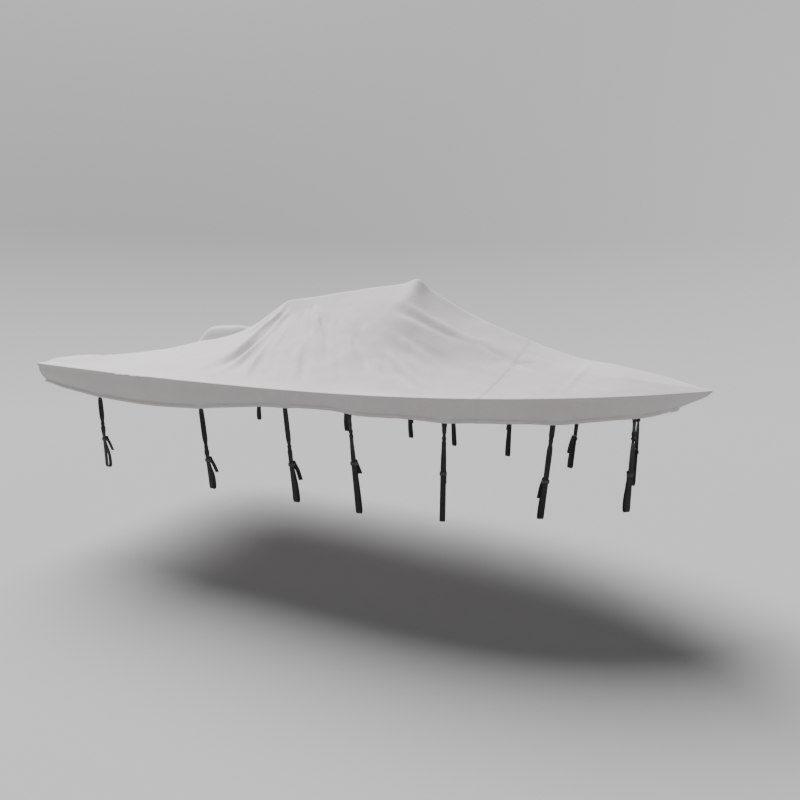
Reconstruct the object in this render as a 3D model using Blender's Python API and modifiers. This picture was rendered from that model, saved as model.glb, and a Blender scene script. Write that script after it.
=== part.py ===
"""A fitted tie-down cover for a small motor boat that stands on its trailer.

The cover is hollow: cloth drapes from a pole and a windshield down to the boat's gunwale,
turns over it and ends in a skirt with a hem. Straps of webbing are sewn inside the hem,
run down, loop round where the trailer's rail would be and come back up to a slider.

Stations are metres forward of the transom, heights are metres above the gunwale at the
transom, and Y runs to port. One last shift puts the origin at the support under the peak.
"""
import math
from collections import namedtuple

import bmesh
import bpy
import numpy as np

# ---------------------------------------------------------------- driving dimensions (metres)
LENGTH = 5.36             # transom to bow tip, along the gunwale
TRANSOM_HALF_BEAM = 1.079
GREATEST_HALF_BEAM = 1.132
GREATEST_STATION = 2.20   # where the boat is widest
BOW_FULLNESS = 2.67       # power of the gunwale's curve in to the bow
SHEER_DIP = 0.029         # how far the gunwale dips amidships
SHEER_BOW = 0.005         # how much higher the bow tip is than the transom
CLOTH = 0.0020            # coated polyester, measured over its weave
SEAM_STATION = 4.10       # the seam across the cover, on the centreline
SEAM_SWEEP = 0.13         # how far aft the seam has moved at the gunwale
SEAM_GAP = 0.0010
EDGE_FLARE = 0.006        # roll of the cloth out over the gunwale
FLARE_SHARE = 0.25        # share of the skirt's depth that the roll takes
SKIRT_BELLY = 0.010       # how far the skirt bulges out halfway down
SKIRT_LEAN = 0.042        # how far the hem lies inboard of the gunwale
BOW_LEAN = 0.45           # most of the half beam that the lean may take near the bow
TRANSOM_LEAN = 0.062
STEM_RAKE = 0.205         # how far aft the stem runs below the bow tip
STEM_REACH = 0.40         # length of hem that follows the stem
STEM_POWER = 1.6
SKIRT_SHARES = (0.10, 0.55, 1.0)    # rows of points down the skirt, as shares of its depth
SCALLOP = 0.006           # how far each strap pulls the hem down
SCALLOP_HALF_WIDTH = 0.09
MOTOR_NOTCH = 0.085       # how much shorter the skirt is where the motor stands
MOTOR_HALF_WIDTH = 0.36
PEAK_STATION = 3.173      # top of the windshield, where the cover is held up
CROSS_STEPS = 30          # strips of cloth across the cover
SEAM_REACH = 0.70         # how far from the seam the rows of points still follow its sweep
SOFTNESS = 0.042          # rounding of ridge and shoulder, as a share of the half beam
TAPS = (-1.0, -0.5, 0.0, 0.5, 1.0)  # where the smooth cloth is read to round it, of its reach
EASE_REACH = 0.26         # how far along the cover the cloth evens out below its supports
EASE_SHARE = 0.50         # share of the half beam at which the evening out is full
EASE_STERN = 0.50         # it fades over this length at the stern and over the next at the bow
EASE_BOW = 0.90
RIM_SHARE = 0.12          # folds and swells fade over this share of the half beam at the rim
FOLD_FADE = 0.30          # share of a fold's length over which it fades at each end
FOLDS_TURN = 2.10         # folds run aft and outward behind this station, forward ahead of it

WEBBING_WIDTH = 0.038
WEBBING_THICK = 0.002
WEBBING_GAP = 0.0004
SEWN_IN = 0.030           # length of strap that is sewn inside the hem
RAIL_HALF = 0.017         # half the depth of the loop round the trailer's rail
SLIDER_WIDTH = 0.049
SLIDER_DEPTH = 0.015
SLIDER_HEIGHT = 0.026
SLIDER_FIT = 0.0006       # play between slider and webbing
TWIST_LENGTH = 0.10       # length of strap in which it turns half over
TWIST_POINTS = 9
TWIST_FOLD = 0.50         # share of its width that webbing loses where it folds in its twist
TAIL_LIFT = 0.012         # how far the free tail stands above the slider before it turns over

CLOTH_COLOUR = (0.560, 0.545, 0.540)
WEBBING_COLOUR = (0.012, 0.012, 0.013)
SLIDER_COLOUR = (0.020, 0.020, 0.021)

# Each row is a cross-section: heights are above the gunwale, shoulder is the share of the
# half beam at which the top turns down, flare is the hollowness of the side, skirt its depth.
Section = namedtuple("Section", "station crown shoulder shoulder_up flare skirt")
SECTIONS = (
    Section(0.000, 0.000, 0.60, 0.000, 1.00, 0.172),
    Section(0.450, 0.062, 0.45, 0.040, 1.00, 0.216),
    Section(0.850, 0.158, 0.35, 0.096, 1.10, 0.238),
    Section(1.100, 0.205, 0.25, 0.135, 1.20, 0.246),
    Section(1.360, 0.277, 0.20, 0.195, 1.30, 0.245),
    Section(1.540, 0.356, 0.16, 0.268, 1.40, 0.237),
    Section(1.710, 0.455, 0.14, 0.350, 1.45, 0.226),
    Section(1.944, 0.588, 0.12, 0.478, 1.40, 0.202),
    Section(2.120, 0.611, 0.12, 0.503, 1.35, 0.183),
    Section(2.450, 0.660, 0.13, 0.552, 1.30, 0.148),
    Section(2.830, 0.713, 0.16, 0.588, 1.30, 0.131),
    Section(3.050, 0.740, 0.18, 0.600, 1.30, 0.134),
    Section(3.173, 0.776, 0.18, 0.622, 1.30, 0.151),
    Section(3.287, 0.695, 0.20, 0.555, 1.30, 0.158),
    Section(3.450, 0.600, 0.22, 0.478, 1.30, 0.157),
    Section(3.610, 0.514, 0.24, 0.405, 1.25, 0.166),
    Section(3.820, 0.424, 0.27, 0.325, 1.20, 0.174),
    Section(4.020, 0.345, 0.32, 0.245, 1.10, 0.176),
    Section(4.320, 0.239, 0.40, 0.156, 1.00, 0.181),
    Section(4.500, 0.186, 0.45, 0.118, 1.00, 0.184),
    Section(4.690, 0.162, 0.48, 0.104, 1.00, 0.176),
    Section(5.030, 0.092, 0.50, 0.060, 1.00, 0.160),
    Section(5.360, 0.000, 0.50, 0.000, 1.00, 0.165),
)

# Stretches of equal steps along the cover; they are short where the folds lie.
Stretch = namedtuple("Stretch", "station steps")
MAIN_STRETCHES = (Stretch(0.00, 0), Stretch(1.68, 13), Stretch(2.16, 16), Stretch(3.30, 19),
                  Stretch(SEAM_STATION, 9))
BOW_STRETCHES = (Stretch(SEAM_STATION, 0), Stretch(LENGTH, 15))

# Folds run from one station and offset to another; starboard offsets are negative.
# Width is half the fold's breadth at its start and at its end; troughs have negative height.
Fold = namedtuple("Fold", "x0 y0 x1 y1 width0 width1 height")
FOLDS = (
    Fold(1.88, -0.06, 1.70, -0.86, 0.045, 0.080, 0.018),
    Fold(1.96, -0.04, 1.82, -0.86, 0.035, 0.055, -0.030),
    Fold(2.01, -0.08, 1.92, -0.92, 0.030, 0.045, 0.018),
    Fold(2.06, -0.14, 2.02, -0.94, 0.035, 0.050, -0.014),
    Fold(2.13, -0.22, 2.14, -1.00, 0.040, 0.060, 0.010),
    Fold(2.28, -0.08, 2.60, -0.74, 0.055, 0.090, 0.020),
    Fold(2.42, -0.12, 2.78, -0.82, 0.060, 0.090, -0.017),
    Fold(2.60, -0.26, 2.96, -0.80, 0.060, 0.080, 0.010),
    Fold(2.76, -0.32, 3.14, -0.88, 0.060, 0.085, -0.012),
    Fold(3.05, -0.34, 4.00, -0.36, 0.060, 0.075, 0.018),
    Fold(3.10, -0.54, 3.80, -0.62, 0.060, 0.075, -0.012),
    Fold(3.20, -0.84, 3.62, -0.98, 0.055, 0.065, 0.008),
    Fold(1.92, 0.05, 1.76, 0.80, 0.045, 0.075, 0.016),
    Fold(1.99, 0.06, 1.90, 0.86, 0.035, 0.055, -0.024),
    Fold(2.06, 0.10, 2.06, 0.95, 0.040, 0.060, 0.014),
    Fold(2.34, 0.12, 2.68, 0.78, 0.060, 0.090, 0.016),
    Fold(2.48, 0.16, 2.86, 0.82, 0.060, 0.090, -0.015),
    Fold(3.08, 0.34, 4.00, 0.38, 0.060, 0.075, 0.016),
    Fold(3.14, 0.56, 3.76, 0.68, 0.060, 0.075, -0.011),
    Fold(3.93, -0.44, 4.14, -0.34, 0.050, 0.060, -0.012),
)

# What lies under the cloth and lifts it, or lets it sink: soft-edged rectangles.
Swell = namedtuple("Swell", "x y half_length half_width height")
SWELLS = (
    Swell(0.76, 0.66, 0.30, 0.25, 0.220),    # seat on the port quarter
    Swell(0.05, -0.76, 0.26, 0.20, 0.028),   # cleat on the starboard quarter
    Swell(0.00, 0.20, 0.19, 0.36, -0.028),   # dip where the motor stands
)

# Straps: where each leaves the hem, where its foot lies, and the drops below the gunwale of
# its twist, its slider and its foot; yaw turns its width away from the hull's side. The free
# tail has its length, and its end hangs aside: forward of the strap, or aft where negative.
# Ease is the room behind the flat sewn end for the hem's own curve.
Strap = namedtuple("Strap", "name top foot twist slider drop yaw tail aside ease")
STRAPS = (
    Strap("1", 0.722, 0.742, 0.46, 0.600, 0.830, -0.55, 0.13, 0.034, 0.0013),
    Strap("2", 1.838, 1.905, 0.51, 0.620, 0.835, -0.50, 0.13, 0.036, 0.0011),
    Strap("3", 2.610, 2.680, 0.42, 0.555, 0.822, -0.12, 0.15, 0.036, 0.0013),
    Strap("4", 3.115, 3.180, 0.27, 0.495, 0.842, 0.44, 0.11, 0.022, 0.0013),
    Strap("5", 3.768, 3.768, 0.28, 0.525, 0.852, 0.60, 0.11, 0.003, 0.0010),
    Strap("6", 4.436, 4.390, 0.30, 0.575, 0.826, 0.00, 0.16, -0.014, 0.0013),
    Strap("7", 4.926, 4.928, 0.30, 0.560, 0.815, -0.35, 0.12, 0.016, 0.0011),
)
SIDES = (("starboard", -1.0), ("port", 1.0))

# A place on the way back up a strap: its height, how far inboard, its share of the tail's shift.
Stage = namedtuple("Stage", "z inset aside")


# ---------------------------------------------------------------- shape of the cloth
def smooth_step(value):
    """Ease from 0 to 1 with level ends."""
    held = np.clip(value, 0.0, 1.0)
    return held * held * (3.0 - 2.0 * held)


def half_beam(station):
    """Half the width of the gunwale: a parabola aft of its widest, a power curve to the bow."""
    aft = np.clip(1.0 - station / GREATEST_STATION, 0.0, 1.0)
    fore = np.clip((station - GREATEST_STATION) / (LENGTH - GREATEST_STATION), 0.0, 1.0)
    narrowing = (GREATEST_HALF_BEAM - TRANSOM_HALF_BEAM) * aft ** 2
    return GREATEST_HALF_BEAM * (1.0 - fore ** BOW_FULLNESS) - narrowing


def sheer(station):
    """Height of the gunwale: a shallow sag between the transom and the bow."""
    share = station / LENGTH
    return SHEER_BOW * share ** 2 - 4.0 * SHEER_DIP * share * (1.0 - share)


def column(name, station):
    """One column of the section table, read at any station with cubic steps between rows."""
    rows = np.array([row.station for row in SECTIONS])
    values = np.array([getattr(row, name) for row in SECTIONS])
    slope = np.diff(values) / np.diff(rows)
    same_way = slope[:-1] * slope[1:] > 0.0
    mean = np.where(same_way, 2.0 * slope[:-1] * slope[1:] / (slope[:-1] + slope[1:] + 1e-12), 0.0)
    tangent = np.concatenate([slope[:1], mean, slope[-1:]])
    i = np.clip(np.searchsorted(rows, station, side="right") - 1, 0, len(rows) - 2)
    span = rows[i + 1] - rows[i]
    u = np.clip((station - rows[i]) / span, 0.0, 1.0)
    start = (1.0 + 2.0 * u) * (1.0 - u) ** 2 * values[i] + u * (1.0 - u) ** 2 * span * tangent[i]
    end = u * u * (3.0 - 2.0 * u) * values[i + 1] - u * u * (1.0 - u) * span * tangent[i + 1]
    return start + end


def section_height(station, out):
    """Height over the gunwale of one cross-section, at a share out of its half beam.

    The ridge is drawn sharp, and higher by what its rounding will take off it.
    """
    crown = column("crown", station)
    shoulder = column("shoulder", station)
    shoulder_up = column("shoulder_up", station)
    rounding = SOFTNESS * sum(abs(tap) for tap in TAPS) / len(TAPS)
    roof = shoulder_up + (crown - shoulder_up) * (shoulder - out) / (shoulder - rounding)
    side_share = (1.0 - out) / (1.0 - shoulder)
    side = shoulder_up * np.sign(side_share) * np.abs(side_share) ** column("flare", station)
    return np.where(out < shoulder, roof, side)


def bare_height(station, across):
    """Height of the smooth cloth; sharp on its supports and eased along the cover below them."""
    ends = np.clip(np.minimum(station / EASE_STERN, (LENGTH - station) / EASE_BOW), 0.0, 1.0)
    reach = EASE_REACH * ends * smooth_step(np.abs(across) / EASE_SHARE)
    total = 0.0
    for along in TAPS:
        for aside in TAPS:
            out = np.abs(across + aside * SOFTNESS)
            total = total + section_height(station + along * reach, out)
    return total / len(TAPS) ** 2


def fold_height(x, y):
    """Sum of the folds: a bell across each fold's line, fading out towards its two ends."""
    total = np.zeros_like(x)
    for fold in FOLDS:
        run_x, run_y = fold.x1 - fold.x0, fold.y1 - fold.y0
        run = math.hypot(run_x, run_y)
        along = ((x - fold.x0) * run_x + (y - fold.y0) * run_y) / run ** 2
        away = ((x - fold.x0) * run_y - (y - fold.y0) * run_x) / run
        held = np.clip(along, 0.0, 1.0)
        width = fold.width0 + (fold.width1 - fold.width0) * held
        fade = smooth_step(np.minimum(along, 1.0 - along) / FOLD_FADE + 0.15)
        total += fold.height * fade * np.exp(-(away / width) ** 2)
    return total


def swell_height(x, y):
    """Sum of the swells: flat tops that fall off smoothly round a soft-edged rectangle."""
    total = np.zeros_like(x)
    for swell in SWELLS:
        reach = ((x - swell.x) / swell.half_length) ** 6 + ((y - swell.y) / swell.half_width) ** 6
        total += swell.height * np.exp(-0.7 * reach)
    return total


def top_surface(station, across):
    """Points of the cloth's top, from the starboard gunwale (-1) to the port one (1)."""
    y = half_beam(station) * across
    rim = np.clip((1.0 - np.abs(across)) / RIM_SHARE, 0.0, 1.0)
    rise = bare_height(station, across) - bare_height(station, np.ones_like(across))
    rise = rise + (fold_height(station, y) + swell_height(station, y)) * rim
    return np.stack([station, y, sheer(station) + rise], axis=-1)


def hem_scallop(station):
    """The hem hangs lowest at each strap, which pulls it down a little."""
    dip = sum(np.exp(-((station - strap.top) / SCALLOP_HALF_WIDTH) ** 2) for strap in STRAPS)
    return SCALLOP * (dip - 0.5)


def skirt_point(rim, outward, down, lean, rake, depth):
    """A point of the skirt, at a share down its depth; it rolls over the rim and leans in."""
    flare = EDGE_FLARE * math.sin(math.pi * min(1.0, down / FLARE_SHARE))
    belly = SKIRT_BELLY * math.sin(math.pi * down)
    shift = outward * (flare + belly - lean * down)
    return rim + np.append(shift, -depth * down) - np.array([rake * smooth_step(down), 0.0, 0.0])


# ---------------------------------------------------------------- building the two panels
def stretch_stations(stretches):
    """Stations along the cover, from its table of stretches."""
    runs = [np.array([stretches[0].station])]
    for start, end in zip(stretches[:-1], stretches[1:]):
        runs.append(np.linspace(start.station, end.station, end.steps + 1)[1:])
    return np.concatenate(runs)


def skirt_rows(rim, outward, depth, lean, rake):
    """The skirt below a line of rim points: one row of points for each share of its depth."""
    edges = list(zip(rim, outward, lean, rake, depth))
    return [[skirt_point(place, way, share, inward, aft, down)
             for place, way, inward, aft, down in edges] for share in SKIRT_SHARES]


def rim_frame(station, side):
    """Outward direction in plan of the gunwale, on the side given by -1 or 1."""
    step = 1e-3
    slope = (half_beam(station + step) - half_beam(station - step)) / (2.0 * step)
    slope = np.clip(slope, -1.2, 1.2)
    direction = np.stack([-slope, side * np.ones_like(slope)], axis=-1)
    return direction / np.linalg.norm(direction, axis=-1, keepdims=True)


def side_skirt(stations, side):
    """Outward direction, depth, lean and rake of the skirt along one side."""
    outward = rim_frame(np.minimum(stations, LENGTH - 0.02), side)
    depth = column("skirt", stations) + hem_scallop(stations)
    lean = np.minimum(SKIRT_LEAN, BOW_LEAN * half_beam(stations))
    to_stem = np.clip(1.0 - (LENGTH - stations) / STEM_REACH, 0.0, 1.0)
    rake = STEM_RAKE * to_stem ** STEM_POWER
    return outward, depth, lean, rake


def panel_object(name, stretches, near_seam, has_transom, has_bow, material):
    """One panel of cloth: its top and skirt as a surface, given its thickness by Solidify."""
    nominal = stretch_stations(stretches)
    across = np.linspace(-1.0, 1.0, CROSS_STEPS + 1)
    grid_s, grid_a = np.meshgrid(nominal, across, indexing="ij")
    weight = np.clip(1.0 - np.abs(grid_s - SEAM_STATION) / SEAM_REACH, 0.0, 1.0)
    grid_s = grid_s - SEAM_SWEEP * weight * grid_a ** 2 + near_seam * (weight > 0.999)
    top = top_surface(grid_s, grid_a)
    mesh = bmesh.new()
    rows = [[mesh.verts.new(place) for place in line] for line in top]
    for lower, upper, station in zip(rows[:-1], rows[1:], nominal):
        for j in range(CROSS_STEPS):
            corners = (lower[j], upper[j], upper[j + 1], lower[j + 1])
            cut = int((j < CROSS_STEPS // 2) == (station > FOLDS_TURN))
            first, second, third, fourth = corners[cut:] + corners[:cut]
            mesh.faces.new((first, second, third))
            mesh.faces.new((first, third, fourth))
    hems = {}
    for side, edge in ((-1.0, 0), (1.0, CROSS_STEPS)):
        stations = grid_s[:, edge]
        outward, depth, lean, rake = side_skirt(stations, side)
        if has_transom:
            outward[0] = np.array([-TRANSOM_LEAN, side * SKIRT_LEAN]) / SKIRT_LEAN
        if has_bow:
            outward[-1] = np.array([1.0, 0.0])
            lean[-1] = 0.0
        hems[side] = [[row[edge] for row in rows]]
        for line in skirt_rows(top[:, edge], outward, depth, lean, rake):
            hems[side].append([mesh.verts.new(place) for place in line])
        for upper, lower in zip(hems[side][:-1], hems[side][1:]):
            for i in range(len(nominal) - 1):
                around = (upper[i], lower[i], lower[i + 1], upper[i + 1])
                mesh.faces.new(around if side < 0.0 else around[:1] + around[:0:-1])
    if has_transom:
        close_transom(mesh, rows[0], top[0], hems)
    bmesh.ops.remove_doubles(mesh, verts=mesh.verts, dist=1e-5)
    bmesh.ops.recalc_face_normals(mesh, faces=mesh.faces)
    mesh.normal_update()
    if sum(face.normal.z * face.calc_area() for face in mesh.faces) < 0.0:
        bmesh.ops.reverse_faces(mesh, faces=mesh.faces)
    data = bpy.data.meshes.new(name)
    mesh.to_mesh(data)
    mesh.free()
    data.shade_smooth()
    panel = bpy.data.objects.new(name, data)
    shell = panel.modifiers.new("cloth", "SOLIDIFY")
    shell.thickness = CLOTH
    shell.offset = -1.0
    shell.use_even_offset = True
    shell.thickness_clamp = 0.0
    finish(panel, material)
    return panel


def close_transom(mesh, edge, points, hems):
    """The skirt that falls over the transom, shorter where the motor stands."""
    y = points[1:-1, 1]
    notch = MOTOR_NOTCH * np.exp(-(y / MOTOR_HALF_WIDTH) ** 4)
    depth = column("skirt", np.zeros_like(y)) - notch
    outward = np.tile(np.array([-1.0, 0.0]), (len(y), 1))
    lean = np.full(len(y), TRANSOM_LEAN)
    rows = [edge]
    lines = skirt_rows(points[1:-1], outward, depth, lean, np.zeros(len(y)))
    for level, line in enumerate(lines, start=1):
        inner = [mesh.verts.new(place) for place in line]
        rows.append([hems[-1.0][level][0]] + inner + [hems[1.0][level][0]])
    for upper, lower in zip(rows[:-1], rows[1:]):
        for j in range(len(edge) - 1):
            mesh.faces.new((upper[j], upper[j + 1], lower[j + 1], lower[j]))


# ---------------------------------------------------------------- straps
def strap_frame(strap, side):
    """Where a strap leaves the hem, its sewn end, and the hull's outward and forward ways."""
    outward = rim_frame(np.array([strap.top]), side)[0]
    outward = np.append(outward, 0.0)
    forward = np.array([side * outward[1], -side * outward[0], 0.0])
    depth = float(column("skirt", strap.top) + hem_scallop(strap.top))
    rim = np.array([strap.top, side * half_beam(strap.top), sheer(strap.top)])
    above, hem = (skirt_point(rim, outward[:2], share, SKIRT_LEAN, 0.0, depth)
                  for share in SKIRT_SHARES[-2:])
    sewn = hem + (above - hem) * SEWN_IN / np.linalg.norm(above - hem)
    slant = np.linalg.norm(above - hem) / (above - hem)[2]
    inset = (CLOTH + WEBBING_GAP + WEBBING_THICK / 2.0) * slant + strap.ease
    return hem - outward * inset, sewn - outward * inset, outward, forward


def strap_path(strap, side):
    """Points down the strap, round its loop and up to its tail, with the turn of its width
    and the share of that width which is left where it folds in its twist."""
    hem, sewn, outward, forward = strap_frame(strap, side)
    foot_shift = forward * (strap.foot - strap.top)
    slider_z = sheer(strap.top) - strap.slider
    foot_z = sheer(strap.top) - strap.drop

    def fall(z):
        share = (hem[2] - z) / (hem[2] - foot_z)
        return hem + foot_shift * share + np.array([0.0, 0.0, z - hem[2]])

    back = WEBBING_THICK + 2.0 * WEBBING_GAP
    twist_z = sheer(strap.top) - strap.twist
    points = [sewn, hem, fall(hem[2] - 0.035)]
    turns = [0.0, 0.0, strap.yaw]
    widths = [1.0, 1.0, 1.0]
    for share in np.linspace(0.0, 1.0, TWIST_POINTS):
        points.append(fall(twist_z + TWIST_LENGTH * (0.5 - share)))
        turns.append(strap.yaw + math.pi * smooth_step(share))
        widths.append(1.0 - TWIST_FOLD * math.sin(math.pi * share) ** 2)
    for z in (slider_z + SLIDER_HEIGHT, slider_z - SLIDER_HEIGHT, foot_z + 0.06, foot_z + 0.005):
        points.append(fall(z))
    for angle in np.radians((45.0, 90.0, 135.0)):
        inward = outward * RAIL_HALF * (1.0 - math.cos(angle))
        points.append(fall(foot_z - RAIL_HALF * math.sin(angle)) - inward)
    near_slider = 0.6 * SLIDER_HEIGHT
    climb = (Stage(foot_z + 0.005, 2.0 * RAIL_HALF, 0.0), Stage(foot_z + 0.09, 1.9 * RAIL_HALF, 0.0),
             Stage(slider_z - 2.0 * SLIDER_HEIGHT, back + 0.008, 0.0),
             Stage(slider_z - near_slider, back, 0.0), Stage(slider_z + near_slider, back, 0.0))
    bend_z = slider_z + near_slider + TAIL_LIFT
    tail = (Stage(bend_z, back + 0.007, 0.0), Stage(bend_z - 0.004, back + 0.016, 0.04),
            Stage(bend_z - 0.030, back + 0.020, 0.30), Stage(bend_z - 0.070, back + 0.027, 0.75),
            Stage(bend_z - strap.tail, back + 0.042, 1.00))
    for stage in climb + tail:
        sideways = forward * strap.aside * stage.aside
        points.append(fall(stage.z) - outward * stage.inset + sideways)
    turns += [math.pi] * (len(points) - len(turns))
    widths += [1.0] * (len(points) - len(widths))
    return np.array(points), -side * np.array(turns), np.array(widths), outward


def band_object(name, points, turns, widths, outward, material):
    """Flat webbing along a path: four corners at each point, joined from point to point.

    Where the webbing folds it is narrower and as much thicker.
    """
    tangent = np.gradient(points, axis=0)
    tangent /= np.linalg.norm(tangent, axis=1, keepdims=True)
    wide = np.array([-outward[1], outward[0], 0.0])
    mesh = bmesh.new()
    rings = []
    for point, along, turn, share in zip(points, tangent, turns, widths):
        flat = wide - along * np.dot(wide, along)
        flat /= np.linalg.norm(flat)
        normal = np.cross(along, flat)
        width = (flat * math.cos(turn) + normal * math.sin(turn)) * share * WEBBING_WIDTH / 2.0
        thick = np.cross(along, width)
        thick *= WEBBING_THICK / 2.0 / share / np.linalg.norm(thick)
        corners = (width + thick, -width + thick, -width - thick, width - thick)
        rings.append([mesh.verts.new(point + corner) for corner in corners])
    for ring, following in zip(rings[:-1], rings[1:]):
        for k in range(4):
            mesh.faces.new((ring[k], ring[(k + 1) % 4], following[(k + 1) % 4], following[k]))
    mesh.faces.new(rings[0])
    mesh.faces.new(rings[-1][::-1])
    bmesh.ops.triangulate(mesh, faces=mesh.faces)
    bmesh.ops.recalc_face_normals(mesh, faces=mesh.faces)
    data = bpy.data.meshes.new(name)
    mesh.to_mesh(data)
    mesh.free()
    band = bpy.data.objects.new(name, data)
    finish(band, material)
    return band


def slider_object(name, centre, outward, up, material):
    """The slider: a short rectangular sleeve round the two runs of webbing, in line with them."""
    wide = np.cross(up, outward)
    layers = 2.0 * WEBBING_THICK + 2.0 * WEBBING_GAP
    inner = (WEBBING_WIDTH / 2.0 + SLIDER_FIT, layers / 2.0 + SLIDER_FIT)
    outer = (SLIDER_WIDTH / 2.0, SLIDER_DEPTH / 2.0)
    mesh = bmesh.new()
    rings = []
    for (half_wide, half_deep), end in ((outer, -0.5), (outer, 0.5), (inner, 0.5), (inner, -0.5)):
        level = centre + up * end * SLIDER_HEIGHT
        corners = ((-1, -1), (1, -1), (1, 1), (-1, 1))
        rings.append([mesh.verts.new(level + wide * a * half_wide + outward * b * half_deep)
                      for a, b in corners])
    for ring, following in zip(rings, rings[1:] + rings[:1]):
        for k in range(4):
            mesh.faces.new((ring[k], ring[(k + 1) % 4], following[(k + 1) % 4], following[k]))
    bmesh.ops.recalc_face_normals(mesh, faces=mesh.faces)
    data = bpy.data.meshes.new(name)
    mesh.to_mesh(data)
    mesh.free()
    slider = bpy.data.objects.new(name, data)
    finish(slider, material)
    return slider


def strap_objects(strap, side_name, side, webbing, plastic):
    """A strap and its slider on one side of the boat."""
    points, turns, widths, outward = strap_path(strap, side)
    band_object(f"strap_{side_name}_{strap.name}", points, turns, widths, outward, webbing)
    hem, _, _, forward = strap_frame(strap, side)
    foot_z = sheer(strap.top) - strap.drop
    fall = forward * (strap.foot - strap.top) + np.array([0.0, 0.0, foot_z - hem[2]])
    share = (hem[2] - sheer(strap.top) + strap.slider) / (hem[2] - foot_z)
    middle = hem + fall * share - outward * (WEBBING_THICK / 2.0 + WEBBING_GAP)
    up = -fall / np.linalg.norm(fall)
    slider_object(f"slider_{side_name}_{strap.name}", middle, outward, up, plastic)


# ---------------------------------------------------------------- materials and scene
def plain_material(name, colour, roughness):
    """A matt Principled material of one colour."""
    material = bpy.data.materials.new(name)
    material.use_nodes = True
    shader = material.node_tree.nodes["Principled BSDF"]
    shader.inputs["Base Color"].default_value = (*colour, 1.0)
    shader.inputs["Roughness"].default_value = roughness
    shader.inputs["Metallic"].default_value = 0.0
    return material


def finish(thing, material):
    """Give a piece its material, shift it to the support point and file it in the collection."""
    thing.data.materials.append(material)
    place = np.empty(len(thing.data.vertices) * 3)
    thing.data.vertices.foreach_get("co", place)
    place = place.reshape(-1, 3) - SUPPORT
    thing.data.vertices.foreach_set("co", place.ravel())
    thing.data.update()
    collection.objects.link(thing)


for leftover in list(bpy.data.objects):
    bpy.data.objects.remove(leftover, do_unlink=True)
collection = bpy.data.collections.new("boat_cover")
bpy.context.scene.collection.children.link(collection)

peak = top_surface(np.array([PEAK_STATION]), np.array([0.0]))[0]
SUPPORT = peak - np.array([0.0, 0.0, CLOTH + 0.010])

cloth = plain_material("cover_cloth", CLOTH_COLOUR, 0.85)
panel_object("panel_main", MAIN_STRETCHES, -SEAM_GAP / 2.0, True, False, cloth)
panel_object("panel_bow", BOW_STRETCHES, SEAM_GAP / 2.0, False, True, cloth)
webbing = plain_material("strap_webbing", WEBBING_COLOUR, 0.75)
plastic = plain_material("slider_plastic", SLIDER_COLOUR, 0.45)
for side_name, side in SIDES:
    for strap in STRAPS:
        strap_objects(strap, side_name, side, webbing, plastic)
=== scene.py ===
# %% [markdown]
# # A fitted boat cover, draped and strapped down
#
# The solid model gives the cover in its true size, in plain facets. This lesson dresses it:
# fine cloth with its folds, seam, hem and stitching, woven straps and moulded sliders, then
# a studio and a camera. Every new piece stands for a solid and stays where that solid is.

import math
from collections import namedtuple

import bmesh
import bpy
import numpy as np
from mathutils import Matrix, Vector


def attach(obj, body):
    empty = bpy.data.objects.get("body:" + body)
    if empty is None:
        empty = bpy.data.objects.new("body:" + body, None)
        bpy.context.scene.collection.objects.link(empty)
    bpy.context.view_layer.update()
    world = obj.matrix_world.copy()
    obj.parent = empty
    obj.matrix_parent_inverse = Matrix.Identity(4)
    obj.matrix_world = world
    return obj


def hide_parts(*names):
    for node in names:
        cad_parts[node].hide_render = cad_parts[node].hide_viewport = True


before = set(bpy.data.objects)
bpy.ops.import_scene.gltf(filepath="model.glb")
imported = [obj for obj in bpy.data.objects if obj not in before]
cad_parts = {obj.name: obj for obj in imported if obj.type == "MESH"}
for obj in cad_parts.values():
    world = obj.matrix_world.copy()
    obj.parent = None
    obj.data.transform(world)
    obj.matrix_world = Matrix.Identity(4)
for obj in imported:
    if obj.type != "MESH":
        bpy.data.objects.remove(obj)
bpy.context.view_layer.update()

# %% [markdown]
# ## Where things are measured from
#
# A boat builder measures stations forward of the transom and heights above the gunwale. The
# solid model's origin is the support under the cover's peak. One offset joins the two, so
# every table below can keep the boat builder's numbers.

# %% The boat's measures
SUPPORT = np.array([3.173, 0.0, 0.7377])    # the model's origin, in the boat's measures
LENGTH = 5.36
TRANSOM_HALF_BEAM = 1.079
GREATEST_HALF_BEAM = 1.132
GREATEST_STATION = 2.20
BOW_FULLNESS = 2.67
SHEER_DIP = 0.029
SHEER_BOW = 0.005
GROUND = -1.62                              # what the trailer stands on


def half_beam(station):
    """Half the gunwale's width: a parabola aft of the widest station, a power curve ahead."""
    aft = np.clip(1.0 - station / GREATEST_STATION, 0.0, 1.0)
    fore = np.clip((station - GREATEST_STATION) / (LENGTH - GREATEST_STATION), 0.0, 1.0)
    narrowing = (GREATEST_HALF_BEAM - TRANSOM_HALF_BEAM) * aft ** 2
    return GREATEST_HALF_BEAM * (1.0 - fore ** BOW_FULLNESS) - narrowing


def sheer(station):
    """Height of the gunwale: a shallow parabola's sag from the transom to the bow."""
    share = station / LENGTH
    return SHEER_BOW * share ** 2 - 4.0 * SHEER_DIP * share * (1.0 - share)


def smooth_step(value):
    """Three times the square less twice the cube: an ease from 0 to 1 with level ends."""
    held = np.clip(value, 0.0, 1.0)
    return held * held * (3.0 - 2.0 * held)


print("the gunwale is", round(2 * float(half_beam(np.array(2.2))), 3), "m wide at most")

# %% [markdown]
# ## Camera
#
# The camera stands off the starboard bow, at about the height of the cover's peak, and looks
# back and down at the whole side. A 27 mm lens is wide enough to give the hull's sweep. Its
# place is a turn about the upright, a tilt about the level, and a very small roll.

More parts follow.
